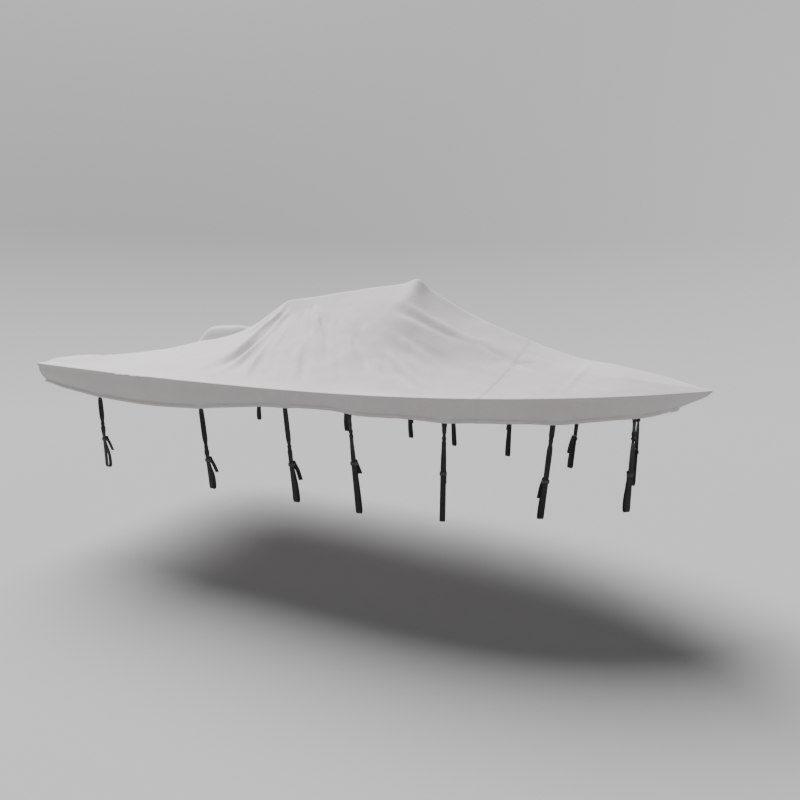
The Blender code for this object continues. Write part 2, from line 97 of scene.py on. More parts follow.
# %% Set up the camera
CAMERA_PLACE = (5.0687, -4.5664, 0.6817)
CAMERA_TURN, CAMERA_TILT, CAMERA_ROLL = (math.radians(a) for a in (24.137, 79.372, 0.498))
LENS = 27.0

lens = bpy.data.cameras.new("camera")
lens.lens = LENS
lens.sensor_width = 36.0
lens.clip_end = 200.0
camera = bpy.data.objects.new("camera", lens)
bpy.context.scene.collection.objects.link(camera)
camera.matrix_world = (Matrix.Translation(np.array(CAMERA_PLACE) - SUPPORT)
                       @ Matrix.Rotation(CAMERA_TURN, 4, "Z")
                       @ Matrix.Rotation(CAMERA_TILT, 4, "X")
                       @ Matrix.Rotation(CAMERA_ROLL, 4, "Z"))
bpy.context.scene.camera = camera
print("the camera stands at", [round(c, 3) for c in camera.matrix_world.translation])

# %% [markdown]
# ## Turning arrays into meshes
#
# All the pieces below are grids of points worked out with numpy. Two helpers make them into
# meshes: one lists the four corners of each cell of an index grid, the other hands points,
# faces and the pattern's own coordinates to Blender in whole arrays.

# %% Mesh helpers
def cells(index, closed_rows=False, closed_columns=False):
    """Corners of each cell between neighbouring rows and columns of an index grid."""
    if closed_rows:
        index = np.concatenate([index, index[:1]], axis=0)
    if closed_columns:
        index = np.concatenate([index, index[:, :1]], axis=1)
    corners = (index[:-1, :-1], index[1:, :-1], index[1:, 1:], index[:-1, 1:])
    return np.stack(corners, axis=-1).reshape(-1, 4)


def piece_from(name, points, faces, pattern, material, weld=0.0):
    """A finished piece at the origin: shifted points, faces, one pattern coordinate a point."""
    data = bpy.data.meshes.new(name)
    data.from_pydata((points.reshape(-1, 3) - SUPPORT).tolist(), [], list(faces))
    layer = data.uv_layers.new(name="pattern")
    corner_points = np.empty(len(data.loops), dtype=np.int32)
    data.loops.foreach_get("vertex_index", corner_points)
    layer.data.foreach_set("uv", pattern.reshape(-1, 2)[corner_points].ravel())
    if weld > 0.0:
        shape = bmesh.new()
        shape.from_mesh(data)
        bmesh.ops.remove_doubles(shape, verts=shape.verts, dist=weld)
        shape.to_mesh(data)
        shape.free()
    data.shade_smooth()
    data.materials.append(material)
    piece = bpy.data.objects.new(name, data)
    bpy.context.scene.collection.objects.link(piece)
    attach(piece, "root")
    return piece


# %% [markdown]
# ## Finishes
#
# The cover is coated polyester in a plain weave: thread over thread, a matt face with a
# faint bloom, and a little dust and fading. The webbing is ribbed along its length. The
# sliders are moulded black plastic. Each finish is a short function that wires colour,
# roughness and relief from patterns in real sizes, so it holds its scale on every piece.

# %% Material helpers
def new_material(name, colour, roughness, **sockets):
    """A Principled material with its uniform values on the shader's own sockets."""
    material = bpy.data.materials.new(name)
    material.use_nodes = True
    shader = material.node_tree.nodes["Principled BSDF"]
    shader.inputs["Base Color"].default_value = (*colour, 1.0)
    shader.inputs["Roughness"].default_value = roughness
    for socket, value in sockets.items():
        shader.inputs[socket.replace("_", " ")].default_value = value
    return material, material.node_tree, shader


def add_node(tree, kind, links=(), **values):
    """A node of one kind, its own settings and input values, and links into its inputs."""
    node = tree.nodes.new(kind)
    for key, value in values.items():
        if hasattr(node, key):
            setattr(node, key, value)
        else:
            node.inputs[key.replace("_", " ")].default_value = value
    for source, target in links:
        tree.links.new(source, node.inputs[target])
    return node


def blend_colours(tree, share, first, second, how="MIX"):
    """Mix two colours or colour sockets by a share."""
    node = tree.nodes.new("ShaderNodeMix")
    node.data_type = "RGBA"
    node.blend_type = how
    for value, place in ((share, 0), (first, 6), (second, 7)):
        if isinstance(value, bpy.types.NodeSocket):
            tree.links.new(value, node.inputs[place])
        else:
            node.inputs[place].default_value = value
    return node.outputs[2]


def ramp(tree, source, low, high):
    """Spread the part of a grey between low and high over the full range from 0 to 1."""
    node = add_node(tree, "ShaderNodeMapRange", [(source, 0)])
    node.inputs["From Min"].default_value = low
    node.inputs["From Max"].default_value = high
    return node.outputs[0]


def ramp_to(tree, source, low, high):
    """Turn a grey from 0 to 1 into a value from low to high."""
    node = add_node(tree, "ShaderNodeMapRange", [(source, 0)])
    node.inputs["To Min"].default_value = low
    node.inputs["To Max"].default_value = high
    return node.outputs[0]


# %% Cover cloth
CLOTH_COLOUR = (0.485, 0.453, 0.455)
THREAD = 0.0011           # from one thread of the weave to the next


def cover_cloth():
    """Grey coated polyester: woven relief, fine flecks, soft fading and dust in large patches."""
    material, tree, shader = new_material("cover_cloth", CLOTH_COLOUR, 0.82,
                                          Sheen_Weight=0.18, Sheen_Roughness=0.5,
                                          Specular_IOR_Level=0.30)
    place = add_node(tree, "ShaderNodeTexCoord")
    patches = add_node(tree, "ShaderNodeTexNoise", [(place.outputs["Object"], "Vector")],
                       Scale=1.6, Detail=4.0, Roughness=0.55)
    flecks = add_node(tree, "ShaderNodeTexNoise", [(place.outputs["Object"], "Vector")],
                      Scale=260.0, Detail=2.0)
    dust = add_node(tree, "ShaderNodeTexNoise", [(place.outputs["Object"], "Vector")],
                    Scale=9.0, Detail=6.0, Roughness=0.65)
    faded = blend_colours(tree, ramp(tree, patches.outputs["Fac"], 0.35, 0.70),
                          (0.470, 0.438, 0.441, 1.0), (0.506, 0.474, 0.477, 1.0))
    flecked = blend_colours(tree, ramp(tree, flecks.outputs["Fac"], 0.30, 0.70),
                            (0.93, 0.93, 0.93, 1.0), (1.06, 1.06, 1.06, 1.0))
    toned = blend_colours(tree, 1.0, faded, flecked, "MULTIPLY")
    dusty = blend_colours(tree, ramp(tree, dust.outputs["Fac"], 0.52, 0.95), toned,
                          (0.548, 0.522, 0.512, 1.0))
    tree.links.new(dusty, shader.inputs["Base Color"])
    across = add_node(tree, "ShaderNodeTexWave", [(place.outputs["UV"], "Vector")],
                      bands_direction="X", Scale=math.pi / (10.0 * THREAD), Distortion=0.6)
    along = add_node(tree, "ShaderNodeTexWave", [(place.outputs["UV"], "Vector")],
                     bands_direction="Y", Scale=math.pi / (10.0 * THREAD), Distortion=0.6)
    weave = add_node(tree, "ShaderNodeMath", [(across.outputs["Fac"], 0), (along.outputs["Fac"], 1)],
                     operation="MULTIPLY")
    relief = add_node(tree, "ShaderNodeBump", [(weave.outputs[0], "Height")],
                      Strength=0.35, Distance=0.0003)
    rumpled = add_node(tree, "ShaderNodeTexNoise", [(place.outputs["Object"], "Vector")],
                       Scale=28.0, Detail=5.0, Roughness=0.55)
    surface = add_node(tree, "ShaderNodeBump",
                       [(rumpled.outputs["Fac"], "Height"), (relief.outputs[0], "Normal")],
                       Strength=0.30, Distance=0.004)
    tree.links.new(surface.outputs[0], shader.inputs["Normal"])
    tree.links.new(ramp_to(tree, dust.outputs["Fac"], 0.76, 0.90), shader.inputs["Roughness"])
    return material


cloth = cover_cloth()
print("weave:", round(1.0 / THREAD), "threads to the metre")

# %% Thread, webbing and plastic
def sewing_thread():
    """Polyester thread a little lighter than the cloth, twisted, with a soft gloss."""
    material, tree, shader = new_material("sewing_thread", (0.52, 0.51, 0.50), 0.55,
                                          Sheen_Weight=0.2)
    place = add_node(tree, "ShaderNodeTexCoord")
    fibres = add_node(tree, "ShaderNodeTexNoise", [(place.outputs["Object"], "Vector")],
                      Scale=900.0, Detail=2.0)
    tone = blend_colours(tree, fibres.outputs["Fac"], (0.45, 0.44, 0.43, 1.0),
                         (0.60, 0.59, 0.58, 1.0))
    tree.links.new(tone, shader.inputs["Base Color"])
    return material


RIB = 0.0023              # from one lengthwise rib of the webbing to the next
PICK = 0.0016             # from one crosswise thread to the next


def strap_webbing():
    """Black webbing: lengthwise ribs, crosswise picks and a dusty bloom."""
    material, tree, shader = new_material("strap_webbing", (0.012, 0.012, 0.013), 0.72,
                                          Sheen_Weight=0.25, Sheen_Roughness=0.45,
                                          Specular_IOR_Level=0.35)
    place = add_node(tree, "ShaderNodeTexCoord")
    ribs = add_node(tree, "ShaderNodeTexWave", [(place.outputs["UV"], "Vector")],
                    bands_direction="X", Scale=math.pi / (10.0 * RIB))
    picks = add_node(tree, "ShaderNodeTexWave", [(place.outputs["UV"], "Vector")],
                     bands_direction="Y", Scale=math.pi / (10.0 * PICK), Distortion=0.4)
    weave = add_node(tree, "ShaderNodeMath", [(ribs.outputs["Fac"], 0), (picks.outputs["Fac"], 1)],
                     operation="MULTIPLY")
    bloom = add_node(tree, "ShaderNodeTexNoise", [(place.outputs["Object"], "Vector")],
                     Scale=45.0, Detail=5.0)
    base = blend_colours(tree, weave.outputs[0], (0.006, 0.006, 0.007, 1.0),
                         (0.020, 0.020, 0.021, 1.0))
    dusty = blend_colours(tree, ramp(tree, bloom.outputs["Fac"], 0.55, 0.90), base,
                          (0.045, 0.044, 0.042, 1.0))
    tree.links.new(dusty, shader.inputs["Base Color"])
    relief = add_node(tree, "ShaderNodeBump", [(weave.outputs[0], "Height")],
                      Strength=0.6, Distance=0.0006)
    tree.links.new(relief.outputs[0], shader.inputs["Normal"])
    return material


def slider_plastic():
    """Moulded black acetal: a fine spark-eroded grain and a few rubbed, glossier places."""
    material, tree, shader = new_material("slider_plastic", (0.020, 0.020, 0.021), 0.42,
                                          Specular_IOR_Level=0.5)
    place = add_node(tree, "ShaderNodeTexCoord")
    grain = add_node(tree, "ShaderNodeTexNoise", [(place.outputs["Object"], "Vector")],
                     Scale=1400.0, Detail=2.0)
    rubbed = add_node(tree, "ShaderNodeTexNoise", [(place.outputs["Object"], "Vector")],
                      Scale=90.0, Detail=3.0)
    tone = blend_colours(tree, rubbed.outputs["Fac"], (0.014, 0.014, 0.015, 1.0),
                         (0.030, 0.030, 0.031, 1.0))
    tree.links.new(tone, shader.inputs["Base Color"])
    tree.links.new(ramp_to(tree, rubbed.outputs["Fac"], 0.32, 0.50), shader.inputs["Roughness"])
    relief = add_node(tree, "ShaderNodeBump", [(grain.outputs["Fac"], "Height")],
                      Strength=0.25, Distance=0.0002)
    tree.links.new(relief.outputs[0], shader.inputs["Normal"])
    return material


thread = sewing_thread()
webbing = strap_webbing()
plastic = slider_plastic()

# %% [markdown]
# ## Straps
#
# Seven straps hang on each side. Each is one length of 38 mm webbing: sewn inside the hem,
# turned half over once on its way down, looped under where the trailer's rail would be, and
# brought back up through a slider, where its free tail turns over and hangs. The route is a
# short list of given points. A smooth curve through them carries a flat profile with
# rounded edges, and the turn of the profile is read from the same list.

# %% The cover's hem, where the straps begin
Section = namedtuple("Section", "station crown shoulder shoulder_up flare skirt")
SECTIONS = (
    Section(0.000, 0.000, 0.60, 0.000, 1.00, 0.172),
    Section(0.450, 0.062, 0.45, 0.040, 1.00, 0.216),
    Section(0.850, 0.158, 0.35, 0.096, 1.10, 0.238),
    Section(1.100, 0.205, 0.25, 0.135, 1.20, 0.246),
    Section(1.360, 0.277, 0.20, 0.195, 1.30, 0.245),
    Section(1.540, 0.356, 0.16, 0.268, 1.40, 0.237),
    Section(1.710, 0.455, 0.14, 0.350, 1.45, 0.226),
    Section(1.944, 0.588, 0.12, 0.478, 1.40, 0.202),
    Section(2.120, 0.611, 0.12, 0.503, 1.35, 0.183),
    Section(2.450, 0.660, 0.13, 0.552, 1.30, 0.148),
    Section(2.830, 0.713, 0.16, 0.588, 1.30, 0.131),
    Section(3.050, 0.740, 0.18, 0.600, 1.30, 0.134),
    Section(3.173, 0.776, 0.18, 0.622, 1.30, 0.151),
    Section(3.287, 0.695, 0.20, 0.555, 1.30, 0.158),
    Section(3.450, 0.600, 0.22, 0.478, 1.30, 0.157),
    Section(3.610, 0.514, 0.24, 0.405, 1.25, 0.166),
    Section(3.820, 0.424, 0.27, 0.325, 1.20, 0.174),
    Section(4.020, 0.345, 0.32, 0.245, 1.10, 0.176),
    Section(4.320, 0.239, 0.40, 0.156, 1.00, 0.181),
    Section(4.500, 0.186, 0.45, 0.118, 1.00, 0.184),
    Section(4.690, 0.162, 0.48, 0.104, 1.00, 0.176),
    Section(5.030, 0.092, 0.50, 0.060, 1.00, 0.160),
    Section(5.360, 0.000, 0.50, 0.000, 1.00, 0.165),
)
Strap = namedtuple("Strap", "name top foot twist slider drop yaw tail aside ease")
STRAPS = (
    Strap("1", 0.722, 0.742, 0.46, 0.600, 0.830, -0.55, 0.13, 0.034, 0.0013),
    Strap("2", 1.838, 1.905, 0.51, 0.620, 0.835, -0.50, 0.13, 0.036, 0.0011),
    Strap("3", 2.610, 2.680, 0.42, 0.555, 0.822, -0.12, 0.15, 0.036, 0.0013),
    Strap("4", 3.115, 3.180, 0.27, 0.495, 0.842, 0.44, 0.11, 0.022, 0.0013),
    Strap("5", 3.768, 3.768, 0.28, 0.525, 0.852, 0.60, 0.11, 0.003, 0.0010),
    Strap("6", 4.436, 4.390, 0.30, 0.575, 0.826, 0.00, 0.16, -0.014, 0.0013),
    Strap("7", 4.926, 4.928, 0.30, 0.560, 0.815, -0.35, 0.12, 0.016, 0.0011),
)
SIDES = (("starboard", -1.0), ("port", 1.0))
CLOTH_THICK = 0.0020
SKIRT_LEAN = 0.042
SKIRT_BELLY = 0.010
SCALLOP = 0.006
SCALLOP_HALF_WIDTH = 0.09


def column(name, station):
    """One column of the table at any station: cubic pieces whose slopes never overshoot."""
    rows = np.array([row.station for row in SECTIONS])
    values = np.array([getattr(row, name) for row in SECTIONS])
    slope = np.diff(values) / np.diff(rows)
    same_way = slope[:-1] * slope[1:] > 0.0
    mean = np.where(same_way, 2.0 * slope[:-1] * slope[1:] / (slope[:-1] + slope[1:] + 1e-12), 0.0)
    tangent = np.concatenate([slope[:1], mean, slope[-1:]])
    i = np.clip(np.searchsorted(rows, station, side="right") - 1, 0, len(rows) - 2)
    span = rows[i + 1] - rows[i]
    u = np.clip((station - rows[i]) / span, 0.0, 1.0)
    start = (1.0 + 2.0 * u) * (1.0 - u) ** 2 * values[i] + u * (1.0 - u) ** 2 * span * tangent[i]
    end = u * u * (3.0 - 2.0 * u) * values[i + 1] - u * u * (1.0 - u) * span * tangent[i + 1]
    return start + end


def hem_scallop(station):
    """The hem hangs lowest at each strap: a row of bell-shaped dips."""
    dip = sum(np.exp(-((station - strap.top) / SCALLOP_HALF_WIDTH) ** 2) for strap in STRAPS)
    return SCALLOP * (dip - 0.5)


def gunwale_way(station, side):
    """Level direction square to the gunwale, outward, from the slope of its half width."""
    step = 1e-3
    slope = np.clip((half_beam(station + step) - half_beam(station - step)) / (2.0 * step), -1.2, 1.2)
    way = np.stack([-slope, side * np.ones_like(slope)], axis=-1)
    return way / np.linalg.norm(way, axis=-1, keepdims=True)


print("the skirt is", column("skirt", np.array([0.0, 1.1, 2.83, 5.0])).round(3), "m deep")

# %% The strap's route
WEBBING_WIDTH = 0.038
WEBBING_THICK = 0.002
WEBBING_GAP = 0.0004
SEWN_IN = 0.030
RAIL_HALF = 0.017
SLIDER_HEIGHT = 0.026
TWIST_LENGTH = 0.10
TWIST_POINTS = 9
TWIST_FOLD = 0.50         # share of its width that the webbing loses where it folds
TWIST_BUNCH = 24.0        # and how many times its thickness it gains for each width lost
TAIL_LIFT = 0.012
Stage = namedtuple("Stage", "z inset aside")


def skirt_chord(strap, side, share):
    """A point of the plain skirt below the gunwale, belly and lean in their shares of depth."""
    way = gunwale_way(np.array([strap.top]), side)[0]
    rim = np.array([strap.top, side * half_beam(strap.top), sheer(strap.top)])
    depth = float(column("skirt", strap.top) + hem_scallop(strap.top))
    shift = way * (SKIRT_BELLY * math.sin(math.pi * share) - SKIRT_LEAN * share)
    return rim + np.append(shift, -depth * share)


def strap_route(strap, side):
    """Points from the sewn end to the free tail, with the webbing's turn and width at each."""
    outward = np.append(gunwale_way(np.array([strap.top]), side)[0], 0.0)
    forward = np.array([side * outward[1], -side * outward[0], 0.0])
    above, edge = skirt_chord(strap, side, 0.55), skirt_chord(strap, side, 1.0)
    rise = (above - edge) / np.linalg.norm(above - edge)
    inset = (CLOTH_THICK + WEBBING_GAP + WEBBING_THICK / 2.0) / rise[2] + strap.ease
    hem = edge - outward * inset
    slider_z, foot_z = (sheer(strap.top) - drop for drop in (strap.slider, strap.drop))
    twist_z = sheer(strap.top) - strap.twist

    def fall(z):
        """The strap's point at a height: straight down from the hem, moved along to its foot."""
        share = (hem[2] - z) / (hem[2] - foot_z)
        return hem + forward * (strap.foot - strap.top) * share + np.array([0.0, 0.0, z - hem[2]])

    back = WEBBING_THICK + 2.0 * WEBBING_GAP
    points, turns = [hem + rise * SEWN_IN, hem, fall(hem[2] - 0.035)], [0.0, 0.0, strap.yaw]
    widths = [1.0, 1.0, 1.0]
    for share in np.linspace(0.0, 1.0, TWIST_POINTS):
        points.append(fall(twist_z + TWIST_LENGTH * (0.5 - share)))
        turns.append(strap.yaw + math.pi * smooth_step(share))
        widths.append(1.0 - TWIST_FOLD * math.sin(math.pi * share) ** 2)
    for z in (slider_z + SLIDER_HEIGHT, slider_z - SLIDER_HEIGHT, foot_z + 0.06, foot_z + 0.005):
        points.append(fall(z))
    for angle in np.radians((45.0, 90.0, 135.0)):
        inward = outward * RAIL_HALF * (1.0 - math.cos(angle))
        points.append(fall(foot_z - RAIL_HALF * math.sin(angle)) - inward)
    near, bend_z = 0.6 * SLIDER_HEIGHT, slider_z + 0.6 * SLIDER_HEIGHT + TAIL_LIFT
    for stage in (Stage(foot_z + 0.005, 2.0 * RAIL_HALF, 0.0), Stage(foot_z + 0.09, 1.9 * RAIL_HALF, 0.0),
                  Stage(slider_z - 2.0 * SLIDER_HEIGHT, back + 0.008, 0.0),
                  Stage(slider_z - near, back, 0.0), Stage(slider_z + near, back, 0.0),
                  Stage(bend_z, back + 0.007, 0.0), Stage(bend_z - 0.004, back + 0.016, 0.04),
                  Stage(bend_z - 0.030, back + 0.020, 0.30), Stage(bend_z - 0.070, back + 0.027, 0.75),
                  Stage(bend_z - strap.tail, back + 0.042, 1.00)):
        points.append(fall(stage.z) - outward * stage.inset + forward * strap.aside * stage.aside)
    turns += [math.pi] * (len(points) - len(turns))
    widths += [1.0] * (len(points) - len(widths))
    profile = np.stack([-side * np.array(turns), widths], axis=-1)
    middle = fall(slider_z) - outward * (WEBBING_THICK / 2.0 + WEBBING_GAP)
    return np.array(points), profile, outward, middle, rise_of(fall, slider_z)


def rise_of(fall, z):
    """Direction straight up the strap at a height: the chord over a centimetre."""
    chord = fall(z + 0.005) - fall(z - 0.005)
    return chord / np.linalg.norm(chord)


# %% A smooth curve through the points, and the webbing along it
CURVE_STEPS = 5           # fine steps between two points of a route


def smooth_curve(points, extra, steps):
    """A Catmull-Rom curve whose pieces are spaced by the root of the chord, so it never loops.

    Each piece blends straight lines between four neighbouring points, twice over.
    """
    whole = np.concatenate([points, extra], axis=1)
    whole = np.concatenate([2 * whole[:1] - whole[1:2], whole, 2 * whole[-1:] - whole[-2:-1]])
    chord = np.sqrt(np.linalg.norm(np.diff(whole[:, :3], axis=0), axis=1))
    knots = np.concatenate([[0.0], np.cumsum(chord)])
    p = [whole[k:len(whole) - 3 + k, None, :] for k in range(4)]
    t = [knots[k:len(knots) - 3 + k, None, None] for k in range(4)]
    u = t[1] + (t[2] - t[1]) * np.linspace(0.0, 1.0, steps, endpoint=False)[None, :, None]

    def between(a, b, low, high):
        """A straight blend of two points, a at the low knot and b at the high one."""
        return a * (high - u) / (high - low) + b * (u - low) / (high - low)

    first = [between(p[k], p[k + 1], t[k], t[k + 1]) for k in range(3)]
    second = [between(first[k], first[k + 1], t[k], t[k + 2]) for k in range(2)]
    fine = between(second[0], second[1], t[1], t[2]).reshape(-1, whole.shape[1])
    fine = np.concatenate([fine, whole[-2:-1]])
    return fine[:, :3], fine[:, 3:]


def band(name, centre, profile, outward, material):
    """A flat profile with rounded edges along a curve: the profile turns about the curve.

    Where the webbing folds, it is narrower and bunched thicker.
    """
    turns, share = profile[:, 0], profile[:, 1]
    tangent = np.gradient(centre, axis=0)
    tangent /= np.linalg.norm(tangent, axis=1, keepdims=True)
    wide = np.array([-outward[1], outward[0], 0.0])
    flat = wide - tangent * (tangent @ wide)[:, None]
    flat /= np.linalg.norm(flat, axis=1, keepdims=True)
    normal = np.cross(tangent, flat)
    across = flat * np.cos(turns)[:, None] + normal * np.sin(turns)[:, None]
    face = np.cross(tangent, across)
    out = np.array([1.0, 0.985, 0.93, 0.6, 0.2, -0.2, -0.6, -0.93, -0.985])
    up = np.array([0.0, 0.62, 1.0, 1.0, 1.0, 1.0, 1.0, 1.0, 0.62])
    out, up = np.concatenate([out, -out]), np.concatenate([up, -up])
    width, thick = WEBBING_WIDTH * share, WEBBING_THICK * (1.0 + TWIST_BUNCH * (1.0 - share))
    ring = centre[:, None] + across[:, None] * out[:, None] * width[:, None, None] / 2.0
    ring = ring + face[:, None] * up[:, None] * thick[:, None, None] / 2.0
    run = np.concatenate([[0.0], np.cumsum(np.linalg.norm(np.diff(centre, axis=0), axis=1))])
    pattern = np.stack(np.broadcast_arrays(out * WEBBING_WIDTH / 2.0, run[:, None]), axis=-1)
    index = np.arange(ring.shape[0] * ring.shape[1]).reshape(ring.shape[:2])
    faces = cells(index[:, ::-1], closed_columns=True).tolist()
    caps = [index[0][::-1].tolist(), index[-1].tolist()]
    return piece_from(name, ring, faces + caps, pattern, material), float(run[-1])

# %% [markdown]
# ## Sliders
#
# A slider is a short moulded sleeve that grips two runs of webbing. A rounded wall profile
# with three grip ribs is carried round a squarish oval, which makes a closed ring with no
# seams or poles. A thumb lever, a squarish pebble, lies on its outer face.

# %% Sliders
SLIDER_WIDTH = 0.049
SLIDER_DEPTH = 0.015
SLIDER_FIT = 0.0006
RIB_HEIGHT = 0.0005


def squarish(angle, power):
    """Cosine and sine, each raised to a power that pulls the circle out towards a square."""
    cos, sin = np.cos(angle), np.sin(angle)
    return np.sign(cos) * np.abs(cos) ** power, np.sign(sin) * np.abs(sin) ** power


def slider(name, middle, outward, up):
    """The sleeve, as a wall profile round a squarish oval, with its thumb lever."""
    wide = np.cross(up, outward)
    inner = np.array([WEBBING_WIDTH / 2.0, WEBBING_THICK + WEBBING_GAP]) + SLIDER_FIT
    outer = np.array([SLIDER_WIDTH, SLIDER_DEPTH]) / 2.0
    around = np.linspace(0.0, 2.0 * math.pi, 72, endpoint=False)
    profile = np.linspace(0.0, 2.0 * math.pi, 40, endpoint=False)
    oval = np.stack(squarish(around, 0.22), axis=-1)
    wall, height = squarish(profile, 0.35)
    ribs = RIB_HEIGHT * np.cos(height * 3.0 * math.pi) * (wall > 0.7)
    reach = ((outer + inner) / 2.0 + (outer - inner) / 2.0 * wall[:, None])[None] + ribs[None, :, None]
    flat = oval[:, None] * reach
    ring = (middle + flat[..., :1] * wide + flat[..., 1:] * outward
            + (height * SLIDER_HEIGHT / 2.0)[None, :, None] * up)
    index = np.arange(ring.shape[0] * ring.shape[1]).reshape(ring.shape[:2])
    faces = cells(index, closed_rows=True, closed_columns=True)
    pattern = np.stack(np.broadcast_arrays(around[:, None] * 0.02, height[None] * 0.013), axis=-1)

    turn = np.linspace(0.0, 2.0 * math.pi, 40, endpoint=False)
    bow = np.linspace(-math.pi / 2.0, math.pi / 2.0, 15)[1:-1]
    cos_turn, sin_turn = squarish(turn, 0.30)
    cos_bow, sin_bow = squarish(bow, 0.45)
    lever_at = middle + outward * (SLIDER_DEPTH / 2.0 + 0.0008) - up * 0.001
    tilt = outward + 0.10 * up
    lever = (lever_at + wide * (0.0135 * cos_bow[:, None] * cos_turn)[..., None]
             + up * (0.0095 * cos_bow[:, None] * sin_turn)[..., None]
             + tilt * (0.0022 * sin_bow[:, None] * np.ones_like(turn))[..., None])
    lever_index = np.arange(lever.shape[0] * lever.shape[1]).reshape(lever.shape[:2]) + index.size
    lever_faces = cells(lever_index[:, ::-1], closed_columns=True).tolist()
    lever_faces += [lever_index[0].tolist()[::-1], lever_index[-1].tolist()]
    points = np.concatenate([ring.reshape(-1, 3), lever.reshape(-1, 3)])
    marks = np.concatenate([pattern.reshape(-1, 2), np.zeros((lever_index.size, 2))])
    return piece_from(name, points, faces.tolist() + lever_faces, marks, plastic)


# %% All the straps
straps = {}
for side_name, side in SIDES:
    for strap in STRAPS:
        route, profile, outward, middle, up = strap_route(strap, side)
        centre, fine_profile = smooth_curve(route, profile, CURVE_STEPS)
        name = f"{side_name}_{strap.name}"
        piece, length = band(f"webbing_{name}", centre, fine_profile, outward, webbing)
        buckle = slider(f"buckle_{name}", middle, outward, up)
        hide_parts(f"strap_{name}")
        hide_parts(f"slider_{name}")
        straps[name] = piece
        print("strap", name, "is", round(length, 3), "m long")

# %% [markdown]
# ## The draped cloth
#
# Cloth under tension hangs between its supports like a tent. Each cross-section is a ridge
# and two hollow sides, read from the table of sections, rounded by averaging neighbours.
# Over that lie the folds: soft ridges and troughs along gently bent lines, each with a small
# opposite swell beside it, since cloth that rises in one place is drawn in from the next.
# A cloth simulation was considered; the lines of tension here are known one by one, so the
# folds and the creases' lines are listed, and a faint random waviness fills the rest.
# The creases' heights and leans were not chosen by hand. They come from a least-squares fit
# of the surface's shading to the photograph's, and were then scaled up and limited.

# %% Smooth shape of the cover's top
SEAM_STATION = 4.10
SEAM_SWEEP = 0.13
SEAM_REACH = 0.70
SOFTNESS = 0.018
TAPS = (-1.0, -0.5, 0.0, 0.5, 1.0)
EASE_REACH = 0.26
EASE_SHARE = 0.50
EASE_STERN = 0.50
EASE_BOW = 0.90
RIM_SHARE = 0.12
FOLD_FADE = 0.30


def section_height(station, out):
    """One cross-section: a straight roof to the shoulder, then a power curve to the gunwale."""
    crown, shoulder = column("crown", station), column("shoulder", station)
    shoulder_up = column("shoulder_up", station)
    rounding = SOFTNESS * sum(abs(tap) for tap in TAPS) / len(TAPS)
    roof = shoulder_up + (crown - shoulder_up) * (shoulder - out) / (shoulder - rounding)
    side_share = (1.0 - out) / (1.0 - shoulder)
    side = shoulder_up * np.sign(side_share) * np.abs(side_share) ** column("flare", station)
    return np.where(out < shoulder, roof, side)


def bare_height(station, across):
    """Mean of the section over a small window, longer along the cover away from the ridge."""
    ends = np.clip(np.minimum(station / EASE_STERN, (LENGTH - station) / EASE_BOW), 0.0, 1.0)
    reach = EASE_REACH * ends * smooth_step(np.abs(across) / EASE_SHARE)
    total = 0.0
    for along in TAPS:
        for aside in TAPS:
            total = total + section_height(station + along * reach, np.abs(across + aside * SOFTNESS))
    return total / len(TAPS) ** 2


# %% Broad folds, as the solid model has them
Fold = namedtuple("Fold", "x0 y0 x1 y1 width0 width1 height")
FOLDS = (
    Fold(1.88, -0.06, 1.70, -0.86, 0.045, 0.080, 0.018),
    Fold(1.96, -0.04, 1.82, -0.86, 0.035, 0.055, -0.030),
    Fold(2.01, -0.08, 1.92, -0.92, 0.030, 0.045, 0.018),
    Fold(2.06, -0.14, 2.02, -0.94, 0.035, 0.050, -0.014),
    Fold(2.13, -0.22, 2.14, -1.00, 0.040, 0.060, 0.010),
    Fold(2.28, -0.08, 2.60, -0.74, 0.055, 0.090, 0.011),
    Fold(2.42, -0.12, 2.78, -0.82, 0.060, 0.090, -0.008),
    Fold(2.60, -0.26, 2.96, -0.80, 0.060, 0.080, 0.006),
    Fold(2.76, -0.32, 3.14, -0.88, 0.060, 0.085, -0.006),
    Fold(3.05, -0.34, 4.00, -0.36, 0.060, 0.075, 0.018),
    Fold(3.10, -0.54, 3.80, -0.62, 0.060, 0.075, -0.012),
    Fold(3.20, -0.84, 3.62, -0.98, 0.055, 0.065, 0.008),
    Fold(1.92, 0.05, 1.76, 0.80, 0.045, 0.075, 0.016),
    Fold(1.99, 0.06, 1.90, 0.86, 0.035, 0.055, -0.024),
    Fold(2.06, 0.10, 2.06, 0.95, 0.040, 0.060, 0.014),
    Fold(2.34, 0.12, 2.68, 0.78, 0.060, 0.090, 0.016),
    Fold(2.48, 0.16, 2.86, 0.82, 0.060, 0.090, -0.015),
    Fold(3.08, 0.34, 4.00, 0.38, 0.060, 0.075, 0.016),
    Fold(3.14, 0.56, 3.76, 0.68, 0.060, 0.075, -0.011),
    Fold(3.93, -0.44, 4.14, -0.34, 0.050, 0.060, -0.006),
)
Swell = namedtuple("Swell", "x y half_length half_width height")
SWELL_FALL = 0.7
SWELLS = (
    Swell(0.76, 0.66, 0.30, 0.25, 0.220),
    Swell(0.05, -0.76, 0.26, 0.20, 0.028),
    Swell(0.00, 0.20, 0.19, 0.36, -0.028),
)


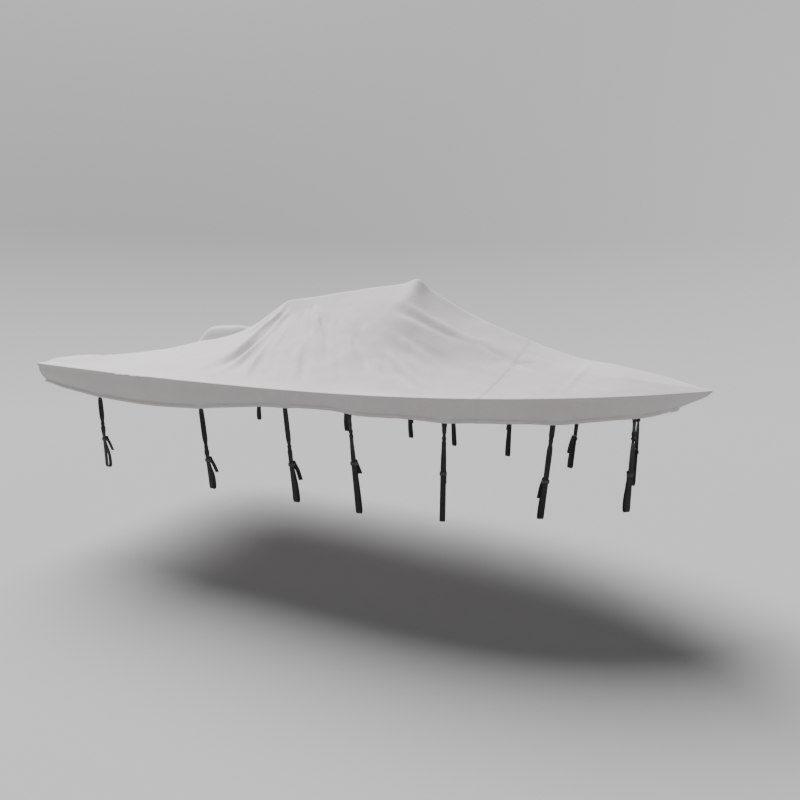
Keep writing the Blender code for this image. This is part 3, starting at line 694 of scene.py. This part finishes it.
def fold_height(x, y):
    """Sum of the broad folds: a bell across each fold's line, easing out at its two ends."""
    total = np.zeros_like(x)
    for fold in FOLDS:
        run_x, run_y = fold.x1 - fold.x0, fold.y1 - fold.y0
        run = math.hypot(run_x, run_y)
        along = ((x - fold.x0) * run_x + (y - fold.y0) * run_y) / run ** 2
        away = ((x - fold.x0) * run_y - (y - fold.y0) * run_x) / run
        width = fold.width0 + (fold.width1 - fold.width0) * np.clip(along, 0.0, 1.0)
        fade = smooth_step(np.minimum(along, 1.0 - along) / FOLD_FADE + 0.15)
        total += fold.height * fade * np.exp(-(away / width) ** 2)
    return total


def swell_height(x, y):
    """Sum of the swells: flat tops with soft edges, from a bell of the sixth powers."""
    total = np.zeros_like(x)
    for swell in SWELLS:
        reach = ((x - swell.x) / swell.half_length) ** 6 + ((y - swell.y) / swell.half_width) ** 6
        total += swell.height * np.exp(-SWELL_FALL * reach)
    return total


# %% Creases: finer lines of tension, bent once on their way
Crease = namedtuple("Crease", "x0 y0 x1 y1 x2 y2 width height lean")
CREASES = (
    Crease(1.915, -0.068, 1.602, -0.259, 1.765, -0.747, 0.032, -0.013, -0.001),
    Crease(1.965, -0.079, 1.801, -0.428, 1.905, -0.856, 0.032, 0.004, 0.005),
    Crease(1.954, -0.127, 1.860, -0.395, 1.995, -0.977, 0.020, 0.003, 0.001),
    Crease(1.954, -0.127, 1.860, -0.395, 1.995, -0.977, 0.032, -0.015, -0.003),
    Crease(2.053, -0.164, 1.985, -0.444, 2.023, -0.976, 0.032, -0.018, -0.003),
    Crease(2.031, -0.330, 2.083, -0.654, 2.226, -1.071, 0.020, 0.009, -0.000),
    Crease(2.031, -0.330, 2.083, -0.654, 2.226, -1.071, 0.032, 0.006, 0.001),
    Crease(2.097, -0.230, 2.119, -0.643, 2.271, -1.064, 0.020, -0.004, -0.001),
    Crease(2.097, -0.230, 2.119, -0.643, 2.271, -1.064, 0.032, 0.006, 0.008),
    Crease(2.057, -0.208, 2.117, -0.343, 2.156, -0.459, 0.020, 0.006, -0.000),
    Crease(2.095, -0.150, 2.158, -0.321, 2.215, -0.480, 0.032, -0.003, 0.001),
    Crease(2.168, -0.151, 2.254, -0.330, 2.345, -0.515, 0.032, -0.010, -0.002),
    Crease(2.202, -0.108, 2.336, -0.321, 2.480, -0.550, 0.020, -0.001, 0.008),
    Crease(2.202, -0.108, 2.336, -0.321, 2.480, -0.550, 0.032, 0.005, -0.001),
    Crease(2.245, -0.093, 2.386, -0.308, 2.548, -0.542, 0.020, 0.004, -0.007),
    Crease(2.245, -0.093, 2.386, -0.308, 2.548, -0.542, 0.032, 0.010, -0.001),
    Crease(2.362, -0.237, 2.571, -0.503, 2.798, -0.781, 0.020, 0.010, 0.003),
    Crease(2.362, -0.237, 2.571, -0.503, 2.798, -0.781, 0.032, 0.018, 0.004),
    Crease(2.461, -0.272, 2.652, -0.517, 2.835, -0.742, 0.020, 0.004, 0.007),
    Crease(2.461, -0.272, 2.652, -0.517, 2.835, -0.742, 0.032, -0.009, 0.001),
    Crease(2.683, -0.571, 2.829, -0.761, 2.995, -0.979, 0.020, 0.011, 0.002),
    Crease(2.629, -0.494, 2.794, -0.716, 2.964, -0.939, 0.020, 0.008, 0.004),
    Crease(2.629, -0.494, 2.794, -0.716, 2.964, -0.939, 0.032, -0.005, -0.000),
    Crease(2.563, -0.285, 2.753, -0.553, 2.937, -0.804, 0.020, -0.008, -0.004),
    Crease(2.563, -0.285, 2.753, -0.553, 2.937, -0.804, 0.032, -0.008, 0.007),
    Crease(2.633, -0.308, 2.831, -0.521, 3.006, -0.733, 0.020, 0.010, 0.003),
    Crease(2.633, -0.308, 2.831, -0.521, 3.006, -0.733, 0.032, -0.008, 0.004),
    Crease(2.811, -0.467, 3.002, -0.664, 3.177, -0.922, 0.032, -0.013, 0.007),
    Crease(2.811, -0.579, 2.940, -0.735, 3.063, -0.899, 0.020, -0.006, 0.000),
    Crease(2.811, -0.579, 2.940, -0.735, 3.063, -0.899, 0.032, 0.010, -0.003),
    Crease(2.829, -0.386, 3.046, -0.621, 3.236, -0.870, 0.020, -0.002, -0.002),
    Crease(2.829, -0.386, 3.046, -0.621, 3.236, -0.870, 0.032, -0.003, -0.005),
    Crease(2.424, -0.564, 2.548, -0.785, 2.695, -1.024, 0.020, 0.005, 0.000),
    Crease(2.424, -0.564, 2.548, -0.785, 2.695, -1.024, 0.032, -0.011, 0.008),
    Crease(2.492, -0.583, 2.615, -0.792, 2.758, -1.030, 0.032, -0.017, -0.003),
    Crease(2.382, -0.657, 2.515, -0.856, 2.652, -1.060, 0.032, -0.001, -0.006),
    Crease(2.474, -0.496, 2.586, -0.647, 2.708, -0.830, 0.032, -0.002, -0.004),
    Crease(2.284, -0.652, 2.393, -0.849, 2.519, -1.053, 0.032, 0.006, -0.000),
    Crease(3.022, -0.246, 3.453, -0.351, 3.874, -0.399, 0.020, 0.008, -0.001),
    Crease(3.022, -0.246, 3.453, -0.351, 3.874, -0.399, 0.032, -0.019, 0.003),
    Crease(3.107, -0.262, 3.508, -0.306, 3.912, -0.327, 0.020, 0.005, 0.006),
    Crease(3.107, -0.262, 3.508, -0.306, 3.912, -0.327, 0.032, 0.003, -0.013),
    Crease(3.033, -0.445, 3.347, -0.535, 3.639, -0.626, 0.032, 0.006, -0.001),
    Crease(3.155, -0.608, 3.359, -0.755, 3.576, -0.910, 0.020, 0.009, 0.004),
    Crease(3.155, -0.608, 3.359, -0.755, 3.576, -0.910, 0.032, -0.007, -0.008),
    Crease(3.211, -0.590, 3.420, -0.738, 3.630, -0.867, 0.020, -0.008, -0.005),
    Crease(3.211, -0.590, 3.420, -0.738, 3.630, -0.867, 0.032, -0.003, 0.012),
    Crease(3.142, -0.666, 3.301, -0.780, 3.474, -0.926, 0.020, -0.006, -0.006),
    Crease(3.142, -0.666, 3.301, -0.780, 3.474, -0.926, 0.032, 0.008, 0.007),
    Crease(3.192, -0.391, 3.466, -0.460, 3.793, -0.515, 0.020, -0.009, 0.002),
    Crease(3.192, -0.391, 3.466, -0.460, 3.793, -0.515, 0.032, 0.015, -0.001),
    Crease(3.219, -0.484, 3.433, -0.569, 3.716, -0.673, 0.020, -0.004, -0.002),
    Crease(3.219, -0.484, 3.433, -0.569, 3.716, -0.673, 0.032, 0.014, 0.002),
    Crease(3.773, -0.272, 3.887, -0.319, 4.022, -0.344, 0.020, 0.005, 0.002),
    Crease(3.773, -0.272, 3.887, -0.319, 4.022, -0.344, 0.032, -0.004, -0.008),
    Crease(4.052, -0.347, 4.134, -0.328, 4.212, -0.261, 0.020, 0.006, 0.003),
    Crease(4.052, -0.347, 4.134, -0.328, 4.212, -0.261, 0.032, -0.004, -0.005),
    Crease(4.073, -0.399, 4.152, -0.399, 4.233, -0.385, 0.020, 0.004, 0.001),
    Crease(4.073, -0.399, 4.152, -0.399, 4.233, -0.385, 0.032, -0.011, 0.000),
    Crease(4.565, -0.034, 4.500, -0.387, 4.427, -0.680, 0.020, 0.005, 0.000),
)
CREASE_STEPS = 8
VALLEY_SHARE = 0.35       # the lower bell that is taken away, as a share of the crease's height
VALLEY_WIDTH = 2.2        # and its width, in widths of the crease
LEAN_SCALE = 2.33         # makes the lean's highest point as high as the number in the table
CREASE_START = 0.18       # share of its line over which a crease rises
CREASE_END = 0.45         # and over which it dies away
PORT_SHARE = 0.85         # the port side's creases: the same lines, lower and a little aft
PORT_SHIFT = 0.035
PORT_SPREAD = 1.04        # and a little nearer to the ridge


def crease_height(x, y):
    """Sum of the creases, each a profile over the signed distance to a bent line.

    The height weighs a bell less a wider, lower bell. The lean weighs the same bell times the
    distance, which is the slope of a fold that has fallen to one side.
    """
    total = np.zeros_like(x)
    for crease in CREASES:
        margin = 4.0 * crease.width
        xs, ys = (crease.x0, crease.x1, crease.x2), (crease.y0, crease.y1, crease.y2)
        near = ((x > min(xs) - margin) & (x < max(xs) + margin)
                & (y > min(ys) - margin) & (y < max(ys) + margin))
        px, py = x[near], y[near]
        best, place = np.full(px.shape, np.inf), np.zeros(px.shape)
        u = np.linspace(0.0, 1.0, CREASE_STEPS + 1)
        bend_x, bend_y = ((1 - u) ** 2 * v[0] + 2 * u * (1 - u) * (2 * v[1] - (v[0] + v[2]) / 2)
                          + u ** 2 * v[2] for v in (xs, ys))
        for k in range(CREASE_STEPS):
            run_x, run_y = bend_x[k + 1] - bend_x[k], bend_y[k + 1] - bend_y[k]
            t = np.clip(((px - bend_x[k]) * run_x + (py - bend_y[k]) * run_y)
                        / (run_x ** 2 + run_y ** 2), 0.0, 1.0)
            off_x, off_y = px - bend_x[k] - t * run_x, py - bend_y[k] - t * run_y
            away = np.hypot(off_x, off_y) * np.sign(off_x * run_y - off_y * run_x)
            closer = np.abs(away) < np.abs(best)
            best, place = np.where(closer, away, best), np.where(closer, (k + t) / CREASE_STEPS, place)
        fade = smooth_step(place / CREASE_START) * smooth_step((1.0 - place) / CREASE_END)
        far = best / crease.width
        bell = np.exp(-far ** 2)
        upright = bell - VALLEY_SHARE * np.exp(-(far / VALLEY_WIDTH) ** 2)
        total[near] += fade * (crease.height * upright + LEAN_SCALE * crease.lean * far * bell)
    return total


# %% Faint waviness
def waviness(u, v, shortest, longest, count, seed):
    """Mean of many level waves with random directions, lengths and starts, about one high."""
    random = np.random.default_rng(seed)
    total = np.zeros_like(u)
    for length, heading, start in zip(random.uniform(shortest, longest, count),
                                      random.uniform(0.0, math.pi, count),
                                      random.uniform(0.0, 2.0 * math.pi, count)):
        total += np.sin((u * math.cos(heading) + v * math.sin(heading)) * 2.0 * math.pi / length + start)
    return total / math.sqrt(count / 2.0)


def seam_line(across):
    """Station of the seam: furthest forward on the ridge, swept aft by the square outward."""
    return SEAM_STATION - SEAM_SWEEP * across ** 2


PUCKER_HEIGHT = 0.0012
PUCKER_LENGTH = 0.034
PUCKER_REACH = 0.040
WAVE_HEIGHT = 0.0009


def top_surface(station, across):
    """Points of the cloth's top, from the starboard gunwale at -1 to the port one at 1."""
    y = half_beam(station) * across
    rim = np.clip((1.0 - np.abs(across)) / RIM_SHARE, 0.0, 1.0)
    rise = bare_height(station, across) - bare_height(station, np.ones_like(across))
    rise = rise + (fold_height(station, y) + swell_height(station, y)) * rim
    from_seam = np.abs(station - seam_line(across))
    pucker = np.sin(2.0 * math.pi * y / PUCKER_LENGTH + 2.0 * waviness(y, y, 0.1, 0.3, 4, 5))
    mirrored = crease_height(station + PORT_SHIFT, -PORT_SPREAD * y)
    fine = crease_height(station, y) + PORT_SHARE * mirrored
    fine = fine + PUCKER_HEIGHT * pucker * np.exp(-from_seam / PUCKER_REACH)
    fine = fine + WAVE_HEIGHT * waviness(station, y, 0.10, 0.45, 24, 7)
    rise = rise + fine * smooth_step(rim)
    return np.stack([station, y, sheer(station) + rise], axis=-1)


print("the peak stands", round(float(top_surface(np.array([3.173]), np.array([0.0]))[0, 2]), 3),
      "m over the gunwale")

# %% [markdown]
# ## Panels: top, skirt and hem
#
# Each panel is one sheet. Its grid starts at the starboard hem, climbs the skirt, rolls over
# the gunwale's sharp edge, crosses the top and ends at the port hem. Rows and columns lie
# closer together where the cloth bends most. Down the skirt a short table gives the roll
# over the gunwale's rail, and the hem stands out a little below its line of stitching,
# which sinks into a groove. Solidify then gives the sheet its real thickness, inward.

# %% Profile of the skirt
HEM = 0.026
ROLL = 0.020
EDGE_DEPTHS = (0.0, 0.003, 0.008, 0.014, 0.022, 0.034, 0.050)
EDGE_OFFSETS = (0.0, 0.0034, 0.0052, 0.0022, -0.0022, -0.0018, 0.0)
HEM_FLARE = 0.0085
HEM_ROUND = 0.0042
GROOVE = 0.0042
BOW_LEAN = 0.45
TRANSOM_LEAN = 0.062
STEM_RAKE = 0.205
STEM_REACH = 0.40
STEM_POWER = 1.6
CORNER_REACH = 0.25
STEM_TURN = 0.08
MOTOR_NOTCH = 0.085
MOTOR_HALF_WIDTH = 0.36
RIPPLE = 0.0020
STRAP_HOLD_HALF = 0.055   # the sewn webbing keeps the hem smooth this far to each side
FAN_HEIGHT = 0.0022       # small folds that fan up from each strap
FAN_REACH = 0.10
FAN_COUNT = 7.0           # waves of the fan in a full turn about its strap, over 2 pi
SKIRT_PUCKER = 0.0024     # gathers across the seam on the skirt
SKIRT_PUCKER_STEP = 0.027
SKIRT_PUCKER_REACH = 0.06
PUFF = 0.012              # loose cloth that puffs out over the gunwale on the starboard quarter
PUFF_MIDDLE = 1.11
PUFF_HALF = 0.19
PUFF_DEPTH = 0.010        # how far below the gunwale the puff stands out most
PUFF_SPREAD = 0.012
PUFF_ROUGH = 0.6

# Each level down the skirt: metres below the gunwale, then shares of the body and of the hem.
Level = namedtuple("Level", "fixed body hem")
LEVELS = ([Level(d, 0.0, 0.0) for d in (0.0015, 0.0035, 0.0065, 0.010, 0.0145)]
          + [Level(ROLL, share, 0.0) for share in np.linspace(0.0, 1.0, 8)]
          + [Level(ROLL, 1.0, share) for share in (0.06, 0.13, 0.25, 0.42, 0.60, 0.78, 0.92, 1.0)])
HEM_LEVEL = 12            # the level on which the hem's stitches lie


def gathers(along, down, depth):
    """Fans of folds above the straps, sines of the angle about each, and gathers at the seam."""
    total = np.zeros_like(down)
    for strap in STRAPS:
        aside, above = along[:, None] - strap.top, depth[:, None] - down
        away = np.hypot(aside, above)
        fan = np.sin(FAN_COUNT * np.arctan2(aside, above + 0.01) + 5.0 * strap.top)
        total += FAN_HEIGHT * fan * np.exp(-(away / FAN_REACH) ** 2) * smooth_step(away / 0.03)
    from_seam = np.abs(along[:, None] - SEAM_STATION + SEAM_SWEEP)
    gather = np.sin(2.0 * math.pi * down / SKIRT_PUCKER_STEP + 9.0 * along[:, None])
    total += SKIRT_PUCKER * gather * np.exp(-(from_seam / SKIRT_PUCKER_REACH) ** 2)
    return total * smooth_step(3.0 * down / depth[:, None])


def skirt_points(rim, outward, lean, rake, depth, along, held):
    """Rows of skirt points: the gunwale's point, plus an offset outward and a drop.

    The offset adds the roll over the rail, the belly's half sine, the lean, the hem's flare
    and groove, and a waviness that grows towards the hem. The last two fade at the straps.
    """
    fixed, body, hem = np.array(LEVELS).T
    down = fixed + body * (depth - ROLL - HEM)[:, None] + hem * HEM
    share, free = down / depth[:, None], 1.0 - held[:, None]
    offset = np.interp(down, EDGE_DEPTHS, EDGE_OFFSETS) + SKIRT_BELLY * np.sin(math.pi * share)
    offset = offset - lean[:, None] * share + HEM_FLARE * smooth_step(hem) - HEM_FLARE * 0.2 * hem
    offset = offset + HEM_ROUND * np.sin(math.pi * hem) * (hem > 0.0)
    offset = offset - GROOVE * free * np.exp(-((hem + (body - 1.0) * 3.0) / 0.08) ** 2)
    wave = waviness(along[:, None] + 0.0 * down, 0.15 * down, 0.05, 0.40, 20, 11)
    offset = offset + RIPPLE * free * wave * (0.15 + share) * smooth_step(share * 5.0)
    offset = offset + gathers(along, down, depth)
    points = rim[:, None] + np.concatenate([outward[:, None] * offset[..., None],
                                            -down[..., None]], axis=-1)
    points[..., 0] -= rake[:, None] * smooth_step(share)
    return points


def side_skirt(stations, rim, side, has_transom, has_bow):
    """The skirt along one side, turning in behind the transom and round the stem."""
    outward = gunwale_way(np.minimum(stations, LENGTH - 0.02), side)
    lean = np.minimum(SKIRT_LEAN, BOW_LEAN * half_beam(stations))
    if has_transom:
        corner = smooth_step(1.0 - stations / CORNER_REACH)[:, None]
        astern = np.array([-TRANSOM_LEAN, side * SKIRT_LEAN]) / SKIRT_LEAN
        outward = outward * (1 - corner) + corner * astern
    if has_bow:
        stem = smooth_step(1.0 - (LENGTH - stations) / STEM_TURN)[:, None]
        outward = outward * (1 - stem) + stem * np.array([1.0, 0.0])
    puff = PUFF * (side < 0.0) * np.exp(-((stations - PUFF_MIDDLE) / PUFF_HALF) ** 4)
    rake = STEM_RAKE * np.clip(1.0 - (LENGTH - stations) / STEM_REACH, 0.0, 1.0) ** STEM_POWER
    depth = column("skirt", stations) + hem_scallop(stations)
    held = sum(np.exp(-((stations - strap.top) / STRAP_HOLD_HALF) ** 4) for strap in STRAPS)
    points = skirt_points(rim, outward, lean, rake, depth, stations, held)
    down = rim[:, None, 2] - points[..., 2]
    rough = 1.0 + PUFF_ROUGH * waviness(stations[:, None] + 0.0 * down, down, 0.03, 0.12, 12, 3)
    swollen = puff[:, None] * rough * np.exp(-((down - PUFF_DEPTH) / PUFF_SPREAD) ** 2)
    points[..., :2] += outward[:, None] * swollen[..., None]
    return points


# %% Build the panels
Stretch = namedtuple("Stretch", "station steps")
MAIN_STRETCHES = (Stretch(0.0, 0), Stretch(0.12, 8), Stretch(0.90, 20), Stretch(1.32, 28),
                  Stretch(1.62, 10), Stretch(2.30, 66), Stretch(3.05, 62), Stretch(3.30, 18),
                  Stretch(3.98, 36), Stretch(SEAM_STATION, 8))
BOW_STRETCHES = (Stretch(SEAM_STATION, 0), Stretch(4.22, 12), Stretch(5.10, 60), Stretch(LENGTH, 24))
ACROSS_STEPS = 136
ACROSS_PULL = 0.22        # how strongly columns crowd to the ridge and the rims
SEAM_GAP = 0.0010


def stations_of(stretches):
    """Stations in equal steps within each stretch of the table."""
    runs = [np.array([stretches[0].station])]
    for start, end in zip(stretches[:-1], stretches[1:]):
        runs.append(np.linspace(start.station, end.station, end.steps + 1)[1:])
    return np.concatenate(runs)


def crowded_across():
    """Shares from -1 to 1, moved by a sine so that they crowd at the ridge and both rims."""
    even = np.linspace(-1.0, 1.0, ACROSS_STEPS + 1)
    return even - ACROSS_PULL / math.pi * np.sin(2.0 * math.pi * even) / 2.0


def panel(name, stretches, near_seam, has_transom, has_bow):
    """A whole panel as one index grid, with the transom's skirt as a second that shares edges."""
    nominal, across = stations_of(stretches), crowded_across()
    station, share = np.meshgrid(nominal, across, indexing="ij")
    weight = np.clip(1.0 - np.abs(station - SEAM_STATION) / SEAM_REACH, 0.0, 1.0)
    station = station - SEAM_SWEEP * weight * share ** 2 + near_seam * (weight > 0.999)
    top = top_surface(station, share)
    skirts = [side_skirt(station[:, edge], top[:, edge], side, has_transom, has_bow)
              for edge, side in ((0, -1.0), (-1, 1.0))]
    points = np.concatenate([skirts[0][:, ::-1], top, skirts[1]], axis=1)
    girth = np.linalg.norm(np.diff(points, axis=1), axis=2)
    girth = np.concatenate([np.zeros((len(nominal), 1)), np.cumsum(girth, axis=1)], axis=1)
    girth = girth - girth[:, [points.shape[1] // 2]]
    pattern = np.stack([girth, np.repeat(nominal[:, None], points.shape[1], axis=1)], axis=-1)
    index = np.arange(points.shape[0] * points.shape[1]).reshape(points.shape[:2])
    faces = cells(index)
    flat_points, flat_pattern = points.reshape(-1, 3), pattern.reshape(-1, 2)
    aft = None
    if has_transom:
        aft = transom_skirt(top[0])
        levels = len(LEVELS)
        inner = np.arange(levels * (len(across) - 2)).reshape(levels, -1) + len(flat_points)
        skirt_index = np.concatenate([index[0, :levels][::-1, None], inner,
                                      index[0, -levels:][:, None]], axis=1)
        edge = index[0, levels:-levels][None]
        faces = np.concatenate([faces, cells(np.concatenate([edge, skirt_index])[::-1])])
        marks = np.stack([aft[..., 1], aft[..., 2] - 1.0], axis=-1)
        flat_points = np.concatenate([flat_points, aft.reshape(-1, 3)])
        flat_pattern = np.concatenate([flat_pattern, marks.reshape(-1, 2)])
    sheet = piece_from(name, flat_points, faces.tolist(), flat_pattern, cloth, weld=1e-5)
    shell = sheet.modifiers.new("thickness", "SOLIDIFY")
    shell.thickness, shell.offset, shell.use_even_offset = CLOTH_THICK, -1.0, True
    return sheet, points, aft


def transom_skirt(rim):
    """The skirt over the transom: shorter at the motor, square to the boat, turned at corners."""
    edge = rim[1:-1]
    y = edge[:, 1]
    depth = column("skirt", np.zeros_like(y)) + hem_scallop(np.zeros_like(y))
    depth = depth - MOTOR_NOTCH * np.exp(-(y / MOTOR_HALF_WIDTH) ** 4)
    turn = smooth_step(1.0 - (TRANSOM_HALF_BEAM - np.abs(y)) / CORNER_REACH)
    outward = np.stack([-np.ones_like(y), np.sign(y) * turn * SKIRT_LEAN / TRANSOM_LEAN], axis=-1)
    lean, rake = np.full(len(y), TRANSOM_LEAN), np.zeros(len(y))
    return skirt_points(edge, outward, lean, rake, depth, y + 7.0, 0.0 * y).transpose(1, 0, 2)


main, main_points, aft_points = panel("cover_main", MAIN_STRETCHES, -SEAM_GAP / 2.0, True, False)
bow, bow_points, _ = panel("cover_bow", BOW_STRETCHES, SEAM_GAP / 2.0, False, True)
for piece, node in ((main, "panel_main"), (bow, "panel_bow")):
    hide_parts(node)
    print(piece.name, "has", 2 * len(piece.data.polygons), "triangles on its outer face")

# %% [markdown]
# ## Seam and stitching
#
# The two panels are joined by a lapped seam. It shows as a narrow raised strip with two rows
# of stitches. A third row holds the hem. A stitch is a slim eight-sided lozenge of thread;
# all of them are laid at once, along a line that is measured off in equal steps.

# %% Lapped seam
SEAM_HALF = 0.008
SEAM_RISE = 0.0011
SEAM_TUCK = 0.0006        # the strip's edges sink this far into the cloth
SEAM_THICK = 0.0005
SEAM_ROW = 0.0052         # each row of stitches stands this far from the middle


def normals_of(points):
    """Unit normals of a grid: the cross product of its two directions."""
    normal = np.cross(np.gradient(points, axis=0), np.gradient(points, axis=1))
    return normal / np.maximum(np.linalg.norm(normal, axis=-1, keepdims=True), 1e-12)


def side_of_line(line, normals):
    """Direction square to a line within the cloth."""
    along = np.gradient(line, axis=0)
    aside = np.cross(normals, along)
    return aside / np.linalg.norm(aside, axis=-1, keepdims=True)


seam_line_points = (main_points[-1] + bow_points[0]) / 2.0
seam_normals = normals_of(main_points[-4:])[-2]
seam_aside = side_of_line(seam_line_points, seam_normals)
profile = np.linspace(-1.0, 1.0, 11)
rise = SEAM_RISE * np.clip(1.0 - profile ** 8, 0.0, 1.0) - SEAM_TUCK * np.abs(profile) ** 8
strip = (seam_line_points[:, None] + seam_aside[:, None] * (profile * SEAM_HALF)[:, None]
         + seam_normals[:, None] * rise[:, None])
run = np.concatenate([[0.0], np.cumsum(np.linalg.norm(np.diff(seam_line_points, axis=0), axis=1))])
marks = np.stack(np.broadcast_arrays(run[:, None], profile * SEAM_HALF + 9.0), axis=-1)
strip_index = np.arange(strip.shape[0] * strip.shape[1]).reshape(strip.shape[:2])
seam = piece_from("seam", strip, cells(strip_index).tolist(), marks, cloth)
lap = seam.modifiers.new("thickness", "SOLIDIFY")
lap.thickness, lap.offset = SEAM_THICK, -1.0
print("the seam is", round(float(run[-1]), 2), "m long")

# %% Stitches
STITCH_STEP = 0.0062
STITCH_HALF = 0.0021
STITCH_WIDE = 0.00055


def lay_stitches(line, normals, step=STITCH_STEP):
    """Lozenges of thread at equal steps along a line: two ends and a square of four between."""
    run = np.concatenate([[0.0], np.cumsum(np.linalg.norm(np.diff(line, axis=0), axis=1))])
    at = np.arange(step, run[-1] - step, step)
    where = np.stack([np.interp(at, run, line[:, k]) for k in range(3)], axis=-1)
    up = np.stack([np.interp(at, run, normals[:, k]) for k in range(3)], axis=-1)
    ahead = np.stack([np.interp(at + 0.001, run, line[:, k]) for k in range(3)], axis=-1) - where
    ahead /= np.linalg.norm(ahead, axis=1, keepdims=True)
    aside = np.cross(up, ahead)
    corners = ((-STITCH_HALF, 0.0, 0.0), (0.0, STITCH_WIDE, 0.0), (0.0, 0.0, STITCH_WIDE),
               (0.0, -STITCH_WIDE, 0.0), (0.0, 0.0, -STITCH_WIDE), (STITCH_HALF, 0.0, 0.0))
    points = np.stack([where + ahead * a + aside * b + up * (c + 0.0002) for a, b, c in corners], axis=1)
    return points


def stitch_faces(count):
    """The eight triangles of each lozenge, for as many lozenges as there are."""
    one = np.array([(0, 2, 1), (0, 3, 2), (0, 4, 3), (0, 1, 4), (5, 1, 2), (5, 2, 3), (5, 3, 4), (5, 4, 1)])
    return (one[None] + 6 * np.arange(count)[:, None, None]).reshape(-1, 3)


def stitching(name, rows):
    """One piece from several rows of stitches."""
    points = np.concatenate(rows)
    piece = piece_from(name, points, stitch_faces(len(points)).tolist(),
                       np.zeros((points.shape[0] * 6, 2)), thread)
    print(name, "has", len(points), "stitches")
    return piece


def hem_rows(points):
    """Stitches along the hem on both sides of a panel."""
    normal = normals_of(points)
    columns = (len(LEVELS) - 1 - HEM_LEVEL, points.shape[1] - len(LEVELS) + HEM_LEVEL)
    return [lay_stitches(points[:, k], normal[:, k]) for k in columns]


seam_rows = [lay_stitches(seam_line_points + seam_aside * offset + seam_normals * SEAM_RISE, seam_normals)
             for offset in (-SEAM_ROW, SEAM_ROW)]
aft_normals = -normals_of(aft_points)
aft_row = lay_stitches(aft_points[HEM_LEVEL], -np.abs(aft_normals[HEM_LEVEL]) * [1.0, 0.0, 0.0])
main_stitches = stitching("stitching_main", hem_rows(main_points) + [aft_row])
bow_stitches = stitching("stitching_bow", hem_rows(bow_points))
seam_stitches = stitching("stitching_seam", seam_rows)


# %% [markdown]
# ## Studio
#
# The floor is a wide pale bowl that rises gently all round, so no horizon shows from any
# side. The light is a bright hazy sky: a broad soft sun that leans to the stern and to port, as
# a big softbox would, and a weak even sky for the rest. The cover's top is bright under it,
# its folds are modelled by it, and the upright skirt falls into shade.

# %% Floor
FLAT_RADIUS = 8.0
CURL_RADIUS = 30.0
RISE_ANGLE = math.radians(32.0)
RIM_RADIUS = 95.0
FLOOR_COLOUR = (0.305, 0.302, 0.302)


def studio_floor():
    """A wide bowl turned about the upright: a flat disc, an arc, and a straight gentle rise."""
    angle = np.linspace(0.0, RISE_ANGLE, 17)[1:]
    radius = np.concatenate([np.linspace(0.02, FLAT_RADIUS, 8), FLAT_RADIUS + CURL_RADIUS * np.sin(angle)])
    height = np.concatenate([np.zeros(8), CURL_RADIUS * (1.0 - np.cos(angle))])
    radius, height = (np.append(radius, RIM_RADIUS),
                      np.append(height, height[-1] + (RIM_RADIUS - radius[-1]) * math.tan(RISE_ANGLE)))
    turn = np.linspace(0.0, 2.0 * math.pi, 96, endpoint=False)
    dish = np.stack(np.broadcast_arrays(radius[:, None] * np.cos(turn), radius[:, None] * np.sin(turn),
                                        height[:, None]), axis=-1)
    data = bpy.data.meshes.new("floor")
    index = np.arange(dish.shape[0] * dish.shape[1]).reshape(dish.shape[:2])
    points = dish.reshape(-1, 3) + [-0.5, 0.0, GROUND - SUPPORT[2]]
    data.from_pydata(points.tolist(), [], cells(index, closed_columns=True).tolist() + [index[0].tolist()])
    data.shade_smooth()
    material, _, _ = new_material("floor_paint", FLOOR_COLOUR, 0.9, Specular_IOR_Level=0.1)
    data.materials.append(material)
    floor = bpy.data.objects.new("floor", data)
    bpy.context.scene.collection.objects.link(floor)
    return floor


studio_floor()


# %% Lights
KEY_FROM = (-0.50, 0.33, 0.80)
KEY_BREADTH = math.radians(40.0)
KEY_POWER = 9.8
SKY_POWER = 0.18


def broad_sun(name, towards, breadth, power):
    """A sun of a given breadth, whose middle stands in one direction from the cover."""
    data = bpy.data.lights.new(name, "SUN")
    data.angle, data.energy = breadth, power
    lamp = bpy.data.objects.new(name, data)
    bpy.context.scene.collection.objects.link(lamp)
    lamp.matrix_world = Vector(towards).to_track_quat("Z", "Y").to_matrix().to_4x4()
    return lamp


broad_sun("key", KEY_FROM, KEY_BREADTH, KEY_POWER)
world = bpy.data.worlds.new("sky")
world.use_nodes = True
world.node_tree.nodes["Background"].inputs["Color"].default_value = (0.97, 0.98, 1.0, 1.0)
world.node_tree.nodes["Background"].inputs["Strength"].default_value = SKY_POWER
bpy.context.scene.world = world
